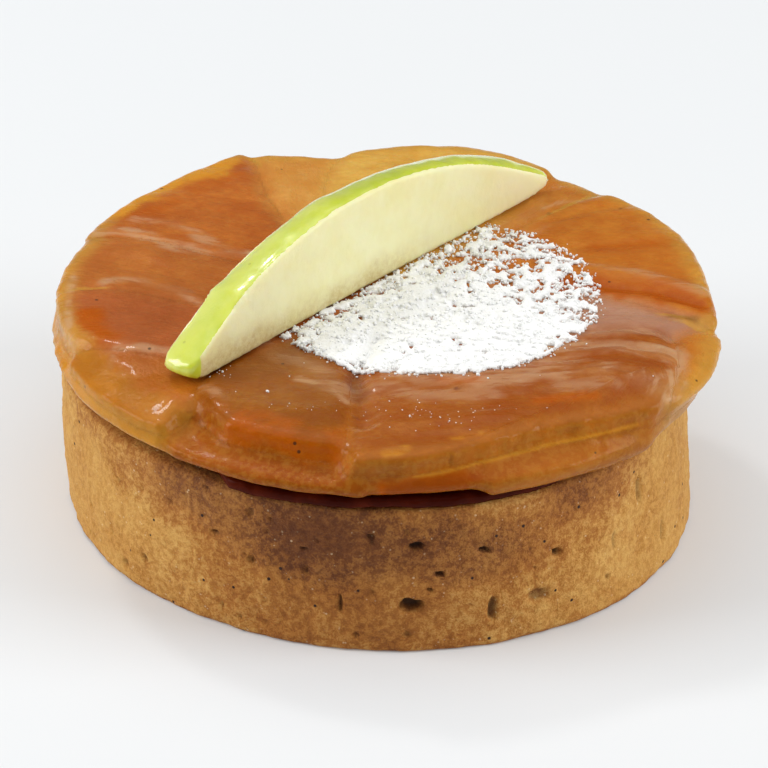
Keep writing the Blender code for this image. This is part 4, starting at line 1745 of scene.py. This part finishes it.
@dataclass
class Crust:
    """The shortcrust base: its side is turned finely and fitted to the CAD crust."""

    PIT_SEED = 12
    RAY_INSET = 0.02 * MM

    node: str = "pastry_crust"
    around: int = 780
    side_rows: int = 62
    random_pits: int = 90
    pits: tuple[Pit, ...] = (
        Pit(275.8, 6.4, 1.45, 0.85, 1.3), Pit(276.4, 14.1, 1.0, 0.55, 0.9),
        Pit(290.3, 5.0, 0.6, 1.8, 0.7), Pit(302.4, 10.6, 0.6, 0.55, 0.9),
        Pit(299.2, 5.6, 1.5, 0.8, 0.5), Pit(288.6, 12.8, 0.65, 0.4, 0.8),
        Pit(280.6, 10.4, 0.55, 0.4, 0.8), Pit(279.0, 8.4, 0.4, 0.3, 0.6),
        Pit(263.6, 6.4, 0.25, 1.1, 0.7), Pit(240.0, 12.4, 0.6, 0.35, 0.6),
        Pit(223.5, 4.8, 0.5, 0.5, 0.5), Pit(217.6, 2.4, 0.6, 0.5, 0.6),
        Pit(247.4, 10.2, 0.5, 0.4, 0.5), Pit(323.7, 13.3, 0.5, 1.9, 0.4),
        Pit(332.1, 5.2, 0.6, 1.6, 0.35), Pit(316.0, 9.0, 0.4, 1.4, 0.3),
        Pit(268.6, 15.4, 0.5, 0.4, 0.5), Pit(257.0, 13.0, 0.4, 0.3, 0.5),
    )
    blotches: tuple[Blotch, ...] = (
        Blotch(262.0, 14.5, 34.0, 8.5, 0.9), Blotch(285.0, 13.0, 22.0, 7.0, 0.75),
        Blotch(238.0, 16.5, 22.0, 6.5, 0.75), Blotch(308.0, 17.0, 20.0, 6.0, 0.55),
        Blotch(205.0, 17.5, 16.0, 2.0, 0.25), Blotch(266.0, 5.0, 44.0, 11.0, 0.5),
        Blotch(306.0, 10.0, 22.0, 9.0, 0.22),
        Blotch(60.0, 15.0, 30.0, 6.0, 0.6), Blotch(120.0, 16.0, 22.0, 4.0, 0.5),
        Blotch(165.0, 12.0, 16.0, 6.0, 0.35), Blotch(10.0, 16.0, 14.0, 4.0, 0.35),
    )
    top_rings: tuple[float, ...] = (0.0, 0.3, 0.6, 0.8, 0.88, 0.92, 0.94, 0.955, 0.965)
    bottom_rings: tuple[float, ...] = (0.985, 0.95, 0.85, 0.5, 0.0)
    radius_mm: float = 37.5
    side_radius_mm: Band = (34.5, 36.0)
    off_foot_mm: Band = (0.0, 0.8)
    off_top_mm: Band = (19.0, 18.6)
    roughness: tuple[Noise, ...] = (Noise(6.0, 2, 3, 0.16), Noise(1.9, 2, 7, 0.10),
                                    Noise(0.85, 2, 11, 0.10))
    pit_width_mm: Band = (0.18, 0.45)
    pit_height_mm: Band = (1.0, 18.0)
    pit_tall: Band = (0.6, 1.5)
    pit_depth_mm: Band = (0.12, 0.4)
    pit_noise: Noise = Noise(0.8, 2, 19, 0.25)
    pit_wall: Band = (1.2, 0.6)
    pit_shade: Band = (1.05, 0.55)
    darkest_pit: float = 0.9
    foot_height_mm: Band = (2.0, 0.2)
    foot_noise: Noise = Noise(3.5, 3, 23, 0.35)
    top_height_mm: Band = (18.0, 19.0)
    top_noise: Noise = Noise(1.5, 2, 29, 0.12)
    brown_cloud: Noise = Noise(5.0, 4, 17)
    brown_top: tuple[float, Band] = (0.35, (17.2, 18.9))
    brown_foot: tuple[float, Band] = (0.5, (0.9, 0.1))
    blotch_edge: Band = (1.4, 0.15)
    blotch_wander: float = 0.3
    cloud_share: float = 0.1

    def build(self, patterns: SharedPatterns) -> bpy.types.Object:
        """Makes the crust.

        Args:
            patterns: The shared node groups.

        Returns:
            The finished object.
        """
        item = self._turned()
        relief = Relief(item)
        self._fit(relief)
        self._shape(relief)
        mount_piece(item, CrustFinish().material(patterns), "baked_crust", self.node)
        return item

    def _turned(self) -> bpy.types.Object:
        """Turns a plain disc of unit radius whose side has many rows.

        Returns:
            The disc.
        """
        low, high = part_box(self.node)
        height = high.z - low.z
        bm = bmesh.new()
        rows = [(share, height) for share in self.top_rings]
        rows += [(1.0, height * (1 - (i + 0.5) / self.side_rows)) for i in range(self.side_rows)]
        rows += [(share, 0.0) for share in self.bottom_rings]
        verts = [bm.verts.new((radius, 0.0, z)) for radius, z in rows]
        edges = [bm.edges.new(pair) for pair in zip(verts, verts[1:])]
        bmesh.ops.spin(bm, geom=verts + edges, cent=(0, 0, 0), axis=(0, 0, 1),
                       angle=2 * math.pi, steps=self.around, use_merge=True,
                       use_duplicate=False)
        bmesh.ops.remove_doubles(bm, verts=bm.verts, dist=MERGE_DISTANCE)
        bmesh.ops.recalc_face_normals(bm, faces=bm.faces)
        return new_object("browned_crust", bm)

    def _fit(self, relief: Relief) -> None:
        """Draws the disc onto the CAD crust by rays from its axis.

        Args:
            relief: The disc's points.
        """
        tree = joined_tree([self.node])
        low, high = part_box(self.node)
        for i, point in enumerate(relief.points):
            share = math.hypot(point[0], point[1])
            if share < TINY:
                continue
            out = Vector((point[0] / share, point[1] / share, 0.0))
            level = min(max(point[2], low.z + self.RAY_INSET), high.z - self.RAY_INSET)
            hit = tree.ray_cast(Vector((0.0, 0.0, level)), out)[0]
            radius = hit.xy.length * share
            relief.points[i, :2] = out.xy * radius
        relief.write()

    def _shape(self, relief: Relief) -> None:
        """Roughens the side, presses the pits in, paints shade into them and paints the browning.

        Args:
            relief: The crust's points.
        """
        points = relief.points_mm
        radius, angle, outward = relief.polar()
        height = points[:, 2]
        side = step_up(radius, *self.side_radius_mm)
        middle = side * step_up(height, *self.off_foot_mm) * step_up(height, *self.off_top_mm)
        depth = sum(layer.at(points) for layer in self.roughness)
        shade = np.zeros(len(points))
        uneven = self.pit_noise.at(points)
        for pit in (*self.pits, *self._random_pits()):
            across = (angle - pit.angle_deg + 180) % 360 - 180
            across = np.radians(across) * self.radius_mm / pit.width_mm
            near = np.hypot(across, (height - pit.height_mm) / pit.tall_mm) + uneven
            depth -= step_up(near, *self.pit_wall) * pit.depth_mm
            shade = np.maximum(shade, step_up(near, *self.pit_shade)
                               * min(self.darkest_pit, pit.depth_mm))
        relief.points += outward * (depth * middle * MM)[:, None]
        foot = side * step_up(height, *self.foot_height_mm) * self.foot_noise.at(points)
        relief.points += outward * (foot * MM)[:, None]
        top = step_up(height, *self.top_height_mm) * self.top_noise.at(points)
        relief.points[:, 2] += top * MM
        relief.write()
        relief.paint(Tint.BROWNED.value, self._browning(points, angle, height))
        # Painted shade in the pits
        relief.paint(Tint.DARK.value, shade * middle)

    def _random_pits(self) -> list[Pit]:
        """Gives many small pits all round the side.

        Returns:
            The pits.
        """
        rng = np.random.default_rng(self.PIT_SEED)
        pits = []
        for _ in range(self.random_pits):
            width = rng.uniform(*self.pit_width_mm)
            pits.append(Pit(rng.uniform(0, 360), rng.uniform(*self.pit_height_mm), width,
                            width * rng.uniform(*self.pit_tall),
                            rng.uniform(*self.pit_depth_mm)))
        return pits

    def _browning(self, points: np.ndarray, angle: np.ndarray,
                  height: np.ndarray) -> np.ndarray:
        """Gives how browned the crust is.

        Args:
            points: Its vertices in millimetres.
            angle: Their angle about the axis in degrees.
            height: Their height in millimetres.

        Returns:
            Numbers between 0 and 1.
        """
        cloud = self.brown_cloud.at(points)
        browned = sum(share * step_up(height, *band)
                      for share, band in (self.brown_top, self.brown_foot))
        for blotch in self.blotches:
            across = ((angle - blotch.angle_deg + 180) % 360 - 180) / blotch.half_deg
            up = (height - blotch.height_mm) / blotch.tall_mm
            reach = np.hypot(across, up) + cloud * self.blotch_wander
            browned = np.maximum(browned, blotch.strength * step_up(reach, *self.blotch_edge))
        return np.clip(browned + cloud * self.cloud_share, 0.0, 1.0)


@dataclass
class Caramel:
    """The dark caramel between crust and apples, which has run towards the crust's rim; its
    near-black spill over the front rim is also painted shade of the gap under the apples.
    """

    node: str = "caramel_layer"
    voxel: float = 0.4 * MM
    relax_times: int = 2
    radius_mm: float = 35.5
    edge_radius_mm: Band = (33.0, 35.4)
    outer_radius_mm: Band = (34.2, 35.4)
    run_mm: float = 1.0
    run_least: float = 0.35
    run_noise: Noise = Noise(4.0, 3, 31, 0.65)
    spill_start_deg: Band = (239.0, 244.0)
    spill_end_deg: Band = (312.0, 298.0)
    spill_reach_mm: float = 37.6
    spill_drop_mm: float = 0.35
    spill_sink_mm: float = 0.15
    drop_height_mm: Band = (20.6, 19.3)
    ragged_noise: Noise = Noise(2.5, 3, 33, 0.3)
    surface_noise: Noise = Noise(2.0, 2, 37, 0.1)

    def build(self) -> bpy.types.Object:
        """Makes the caramel layer.

        Returns:
            The layer's object.
        """
        item = remeshed_node(self.node, "caramel_and_gap_shade_layer", self.voxel, self.relax_times)
        relief = Relief(item)
        points = relief.points_mm
        radius, angle, outward = relief.polar()
        run = self.run_mm * (self.run_least + self.run_noise.at(points))
        # The spill over the front rim is caramel that covers the crust's top edge and also paints
        # the shade of the gap under the apples
        spill_and_shade = step_up(angle, *self.spill_start_deg) * step_up(angle, *self.spill_end_deg)
        ragged = self.ragged_noise.at(points * (1.0, 1.0, 0.0))
        run += spill_and_shade * (self.spill_reach_mm + ragged - self.radius_mm - run)
        edge = step_up(radius, *self.edge_radius_mm)
        relief.points += outward * (edge * run * MM)[:, None]
        drop = (self.spill_drop_mm + ragged) * step_up(points[:, 2], *self.drop_height_mm)
        outer = step_up(radius, *self.outer_radius_mm) * spill_and_shade
        relief.points[:, 2] -= outer * (drop + self.spill_sink_mm) * MM
        relief.points[:, 2] += self.surface_noise.at(points) * MM
        relief.write()
        mount_piece(item, CaramelFinish().material("caramel_and_gap_shade_finish"), "dark_caramel",
                    self.node)
        return item


@dataclass
class FreshSlice:
    """The slice of fresh apple, with knobbly skin and a softly browned foot."""

    node: str = "fresh_apple_slice"
    heading_deg: float = 51.5
    start_mm: FlatPoint = (-20.24, -23.24)
    foot_mm: float = 27.8
    sink: float = 0.4 * MM
    voxel: float = 0.3 * MM
    relax_times: int = 3
    knobs: tuple[tuple[float, float, float], ...] = ((6.8, 2.4, 0.35), (3.0, 2.6, -0.2),
                                                     (13.0, 4.0, -0.2), (24.0, 4.0, 0.2))
    knob_noise: Noise = Noise(7.0, 2, 51, 0.2)
    ripple_noise: Noise = Noise(2.2, 2, 53, 0.06)
    cut_noise: Noise = Noise(1.1, 3, 57, 0.05)
    foot_noise: Noise = Noise(3.0, 3, 59, 1.5)
    under_tilt: Band = (-0.35, -0.7)
    far_end_mm: Band = (38.0, 56.0)
    far_end_skin: float = 0.45
    skin_front: Band = (-0.52, -0.30)
    skin_rear: Band = (0.80, 0.62)
    tip_mm: Band = (0.2, -1.2)
    behind_tip_mm: Band = (-0.5, 1.0)
    low_mm: Band = (1.6, 0.0)
    foot_brown_mm: Band = (4.2, 0.2)
    foot_fades_mm: Band = (46.0, 28.0)
    pale_rear: Band = (-0.1, 0.6)
    pale_share: float = 0.7

    def build(self, patterns: SharedPatterns) -> bpy.types.Object:
        """Makes the slice.

        Args:
            patterns: The shared node groups.

        Returns:
            The finished object.
        """
        item = remeshed_node(self.node, "fresh_slice", self.voxel, self.relax_times)
        relief = Relief(item)
        heading = math.radians(self.heading_deg)
        ahead = np.array([math.cos(heading), math.sin(heading), 0.0])
        rearward = np.array([-ahead[1], ahead[0], 0.0])
        normals, points = relief.normals, relief.points_mm
        facing = normals @ rearward
        along = (points - (*self.start_mm, 0.0)) @ ahead
        height = points[:, 2] - self.foot_mm
        under = step_up(normals[:, 2], *self.under_tilt)
        thinned = self.far_end_skin * step_up(along, *self.far_end_mm)
        skin = step_up(facing + thinned, *self.skin_front) * step_up(facing, *self.skin_rear)
        skin = np.maximum(skin, step_up(along, *self.tip_mm))
        skin = skin * (1 - under * step_up(along, *self.behind_tip_mm))
        knobs = self.knob_noise.at(points)
        for place, width, swell in self.knobs:
            knobs += swell * np.exp(-((along - place) / width) ** 2 * 2)
        bumps = skin * (knobs + self.ripple_noise.at(points))
        bumps += (1 - skin) * self.cut_noise.at(points)
        relief.points += normals * (bumps * MM)[:, None]
        relief.points[:, 2] -= step_up(height, *self.low_mm) * self.sink
        relief.write()
        relief.paint(Tint.SKIN.value, skin)
        browned = step_up(height + self.foot_noise.at(relief.points_mm), *self.foot_brown_mm)
        relief.paint(Tint.FOOT.value, browned * step_up(along, *self.foot_fades_mm))
        relief.paint(Tint.PALE.value, self.pale_share * step_up(facing, *self.pale_rear) * skin)
        mount_piece(item, SliceFinish().material(patterns), "fresh_apple", self.node)
        return item


@dataclass
class IcingSugar:
    """The sifted patch of icing sugar: a lumpy film with gaps, loose clumps and stray grains."""

    SPARSE_SIDE = (0.555, 0.83)
    SEED = 5
    RAY_START = 0.04
    BESIDE_THE_APPLES = 27.0 * MM
    CRYSTAL_SPREAD = 0.6

    node: str = "icing_sugar"
    centre_mm: FlatPoint = (5.0, -1.0)
    radius_mm: float = 21.2
    slice_start_mm: FlatPoint = (-20.24, -23.24)
    slice_heading_deg: float = 51.5
    slice_gap_mm: float = 0.5
    bare_spot_mm: FlatPoint = (16.5, 7.0)
    spacing_mm: float = 0.24
    tries: int = 14000
    crystal_patches: tuple[tuple[float, float, float, float, int], ...] = (
        (6.0, -30.0, 8.0, 3.0, 44), (-19.0, -21.5, 2.0, 1.5, 10), (-9.0, -29.0, 6.0, 1.5, 12),
    )
    strays: tuple[FlatPoint, ...] = (
        (-19.7, -22.3), (-12.3, -11.3), (-9.0, -19.0), (-4.4, -19.7), (0.3, -22.6),
        (0.8, -21.7), (-10.6, -22.2), (-23.3, -18.4), (-22.6, -19.3), (-22.2, -18.8),
        (-18.3, -21.5), (-16.6, -26.0), (-13.0, -25.8), (0.9, -27.4), (3.2, -30.8),
        (5.5, -29.5), (7.7, -31.3), (13.4, -27.5), (18.1, -20.9), (31.1, -20.4),
    )
    ragged_noise: Noise = Noise(2.2, 3, 71, 0.8)
    edge_mm: Band = (0.0, 1.2)
    slice_edge: Band = (1.2, 1.5)
    bare_stretch: FlatPoint = (1.25, 0.85)
    bare_noise: Noise = Noise(3.0, 2, 73)
    bare_edge_mm: Band = (0.4, 3.0)
    bare_cover: Band = (0.45, 0.55)
    sparse_cover: Band = (0.66, 0.34)
    sparse_side_mm: Band = (13.0, 3.0)
    sparse_by_slice_mm: Band = (0.0, 4.5)
    rim_thinning: float = 0.18
    rim_mm: Band = (4.0, 0.5)
    clump_noise: Noise = Noise(0.85, 2, 81)
    fine_clump_noise: Noise = Noise(0.45, 1, 83, 0.35)
    cover_gain: float = 1.55
    cover_floor: float = 0.80
    faint_cover: Band = (0.2, 0.02)
    film_gain: float = 0.9
    film_mm: Band = (0.0, 0.42)
    film_lump: float = 0.06
    film_sink_mm: float = 0.03
    film_wall: float = 0.35 * MM
    loose_margin_mm: float = 1.2
    loose_peak: float = 1.25
    loose_gain: float = 1.6
    dust: float = 0.01
    grain_mm: Band = (0.10, 0.22)
    grain_by_cover: Band = (0.8, 0.4)
    crystal_mm: Band = (0.05, 0.10)
    lift: Band = (0.28, 0.3)
    flatness: Band = (0.55, 1.0)

    def cover(self, plan_mm: np.ndarray) -> np.ndarray:
        """Gives how thickly the sugar lies.

        Args:
            plan_mm: Plan points in millimetres.

        Returns:
            Numbers from 0, bare, to 1, thick.
        """
        heading = math.radians(self.slice_heading_deg)
        front = np.array([math.sin(heading), -math.cos(heading)])
        from_slice = (plan_mm - self.slice_start_mm) @ front - self.slice_gap_mm
        reach = self.radius_mm - np.hypot(*(plan_mm - self.centre_mm).T)
        points = laid_flat(plan_mm)
        slope, start = self.slice_edge
        inside = np.minimum(reach, from_slice * slope + start)
        edge = step_up(inside + self.ragged_noise.at(points), *self.edge_mm)
        from_bare = np.hypot(*((plan_mm - self.bare_spot_mm) / self.bare_stretch).T)
        bare = step_up(from_bare + self.bare_noise.at(points), *self.bare_edge_mm)
        dense = step_up(plan_mm @ self.SPARSE_SIDE, *self.sparse_side_mm)
        least, more = self.sparse_cover
        dense = least + more * dense * step_up(from_slice, *self.sparse_by_slice_mm)
        dense *= 1.0 - self.rim_thinning * step_up(reach, *self.rim_mm)
        least, more = self.bare_cover
        return edge * (least + more * bare) * dense

    def build(self, surface: BVHTree) -> None:
        """Makes the patch and its loose clumps.

        Args:
            surface: The finished apples that the sugar lies on.
        """
        finish = SugarFinish()
        patch = self._patch(surface)
        mount_piece(patch, finish.material("icing_sugar_finish"), "icing_sugar", self.node)
        loose = self._loose(surface)
        mount_piece(loose, finish.material("sugar_grain_finish"), "icing_sugar")

    def _landing(self, surface: BVHTree, x: float, y: float) -> Vector | None:
        """Finds the point of the apples under a place in the plan."""
        return surface.ray_cast(Vector((x, y, self.RAY_START)), Vector((0, 0, -1)))[0]

    def _patch(self, surface: BVHTree) -> bpy.types.Object:
        """Builds the film of sugar on the apples.

        Args:
            surface: The finished apples.

        Returns:
            The film.
        """
        bm = bmesh.new()
        count = int(2 * self.radius_mm / self.spacing_mm)
        bmesh.ops.create_grid(bm, x_segments=count, y_segments=count,
                              size=self.radius_mm * MM)
        bmesh.ops.translate(bm, verts=bm.verts,
                            vec=(self.centre_mm[0] * MM, self.centre_mm[1] * MM, 0.0))
        plan = np.array([vertex.co.xy for vertex in bm.verts]) / MM
        points = laid_flat(plan)
        clump = self.clump_noise.at(points) + self.fine_clump_noise.at(points)
        cover = self.cover(plan)
        thickness = clump + self.cover_gain * cover - self.cover_floor
        thickness -= step_up(cover, *self.faint_cover)
        bare = [vertex for vertex, depth in zip(bm.verts, thickness) if depth < 0.0]
        heights = np.clip(thickness * self.film_gain, *self.film_mm) + self.film_lump * clump
        for vertex, height in zip(bm.verts, heights):
            hit = self._landing(surface, vertex.co.x, vertex.co.y)
            lift = (height - self.film_sink_mm) * MM
            vertex.co.z = hit.z + lift if hit else self.BESIDE_THE_APPLES
        bmesh.ops.delete(bm, geom=bare, context="VERTS")
        under = bmesh.ops.extrude_face_region(bm, geom=bm.faces[:])
        low = [part for part in under["geom"] if isinstance(part, bmesh.types.BMVert)]
        bmesh.ops.translate(bm, verts=low, vec=(0.0, 0.0, -self.film_wall))
        bmesh.ops.recalc_face_normals(bm, faces=bm.faces)
        return new_object("icing_sugar_film", bm)

    def _loose(self, surface: BVHTree) -> bpy.types.Object:
        """Builds the clumps on the film, the dust round it, the stray grains and tiny crystals.

        Args:
            surface: The finished apples.

        Returns:
            All the grains as one object.
        """
        rng = np.random.default_rng(self.SEED)
        reach = self.radius_mm + self.loose_margin_mm
        tries = np.array(self.centre_mm) + rng.uniform(-reach, reach, (self.tries, 2))
        cover = self.cover(tries)
        inside = np.hypot(*(tries - self.centre_mm).T) < reach
        chance = cover * (self.loose_peak - cover) * self.loose_gain + self.dust
        kept = inside & (rng.random(len(tries)) < chance)
        plan = np.concatenate([tries[kept], self.strays])
        cover = np.concatenate([cover[kept], np.zeros(len(self.strays))])
        least, more = self.grain_mm
        sizes = least + more * rng.random(len(plan)) ** 2
        least, more = self.grain_by_cover
        sizes *= least + more * cover
        for x_mm, y_mm, half_wide, half_deep, count in self.crystal_patches:
            spread = rng.normal(0.0, self.CRYSTAL_SPREAD, (count, 2)) * (half_wide, half_deep)
            plan = np.concatenate([plan, spread + (x_mm, y_mm)])
            cover = np.concatenate([cover, np.zeros(count)])
            sizes = np.concatenate([sizes, rng.uniform(*self.crystal_mm, count)])
        hits = [self._landing(surface, *point) for point in plan * MM]
        met = np.array([hit is not None for hit in hits])
        plan, cover, sizes = plan[met], cover[met], sizes[met]
        heights = np.array([hit.z for hit in hits if hit])
        by_cover, by_size = self.lift
        lift = (by_cover * cover + sizes * by_size) * MM
        centres = np.column_stack([plan * MM, heights + lift])
        flat = rng.uniform(*self.flatness, (len(plan), 3)) * (sizes * MM)[:, None]
        return scatter("icing_sugar_grains", centres, flat, rng)


@dataclass(frozen=True)
class Lamp:
    """A square soft light that points at the tart: its place, its side and its watts."""

    AIM = (0.0, 0.0, 0.015)

    name: str
    place: Stretch
    size: float
    power: float

    def build(self) -> None:
        """Adds the light to the scene."""
        data = bpy.data.lights.new(self.name, "AREA")
        data.size = self.size
        data.energy = self.power
        lamp = bpy.data.objects.new(self.name, data)
        lamp.location = self.place
        aim = Vector(self.AIM) - lamp.location
        lamp.rotation_euler = aim.to_track_quat("-Z", "Y").to_euler()
        bpy.context.scene.collection.objects.link(lamp)


@dataclass
class Studio:
    """The plain floor, the soft lights and the camera."""

    camera_place: Stretch = (0.0, -0.4763, 0.275)
    camera_pitch_deg: float = 28.68
    camera_yaw_deg: float = -0.03
    camera_roll_deg: float = 1.2
    lens: float = 211.9
    sensor: float = 36.0
    floor_half: float = 3.0
    lamps: tuple[Lamp, ...] = (
        Lamp("key", (-0.27, 0.38, 0.67), 0.09, 0.8),
        Lamp("left_box", (-0.80, -0.10, 0.38), 0.5, 4.8),
        Lamp("right_box", (0.80, -0.12, 0.38), 0.5, 4.6),
        Lamp("front_fill", (0.10, -0.85, 0.45), 0.6, 0.3),
    )
    surround_height: Band = (0.58, 0.95)
    surround: Band = (0.10, 1.38)

    def build(self) -> None:
        """Sets everything up."""
        self._floor()
        self._camera()
        for lamp in self.lamps:
            lamp.build()
        self._surround()

    def _floor(self) -> None:
        """Lays the floor just under the tart."""
        bm = bmesh.new()
        bmesh.ops.create_grid(bm, x_segments=1, y_segments=1, size=self.floor_half)
        floor = new_object("studio_floor", bm)
        floor.data.materials.append(FloorFinish().material())

    def _camera(self) -> None:
        """Places the camera at the photo's viewing angle."""
        data = bpy.data.cameras.new("camera")
        data.lens = self.lens
        data.sensor_width = self.sensor
        camera = bpy.data.objects.new("camera", data)
        bpy.context.scene.collection.objects.link(camera)
        camera.matrix_world = (
            Matrix.Translation(self.camera_place)
            @ Matrix.Rotation(math.radians(self.camera_yaw_deg), 4, "Z")
            @ Matrix.Rotation(math.radians(90 - self.camera_pitch_deg), 4, "X")
            @ Matrix.Rotation(math.radians(self.camera_roll_deg), 4, "Z")
        )
        bpy.context.scene.camera = camera

    def _surround(self) -> None:
        """Surrounds the tart with dim light that is bright only overhead."""
        world = bpy.data.worlds.new("studio_surround")
        world.use_nodes = True
        sheet = NodeSheet(world.node_tree)
        direction = sheet.add("ShaderNodeTexCoord").outputs["Generated"]
        parts = sheet.add("ShaderNodeSeparateXYZ")
        sheet.link(direction, parts.inputs[0])
        sheet.fill(world.node_tree.nodes["Background"], {
            "Color": (1.0, 1.0, 1.0, 1.0),
            "Strength": sheet.spread(parts.outputs["Z"], *self.surround_height,
                                     *self.surround),
        })
        bpy.context.scene.world = world
        bpy.context.scene.view_settings.view_transform = "Standard"


def main() -> None:
    """Builds the tart and its studio."""
    logging.basicConfig(level=logging.INFO, format="%(message)s")
    patterns = SharedPatterns()
    Crust().build(patterns)
    Caramel().build()
    surface = Topping().build(patterns)
    FreshSlice().build(patterns)
    IcingSugar().build(surface)
    Studio().build()


if __name__ == "__main__":
    main()
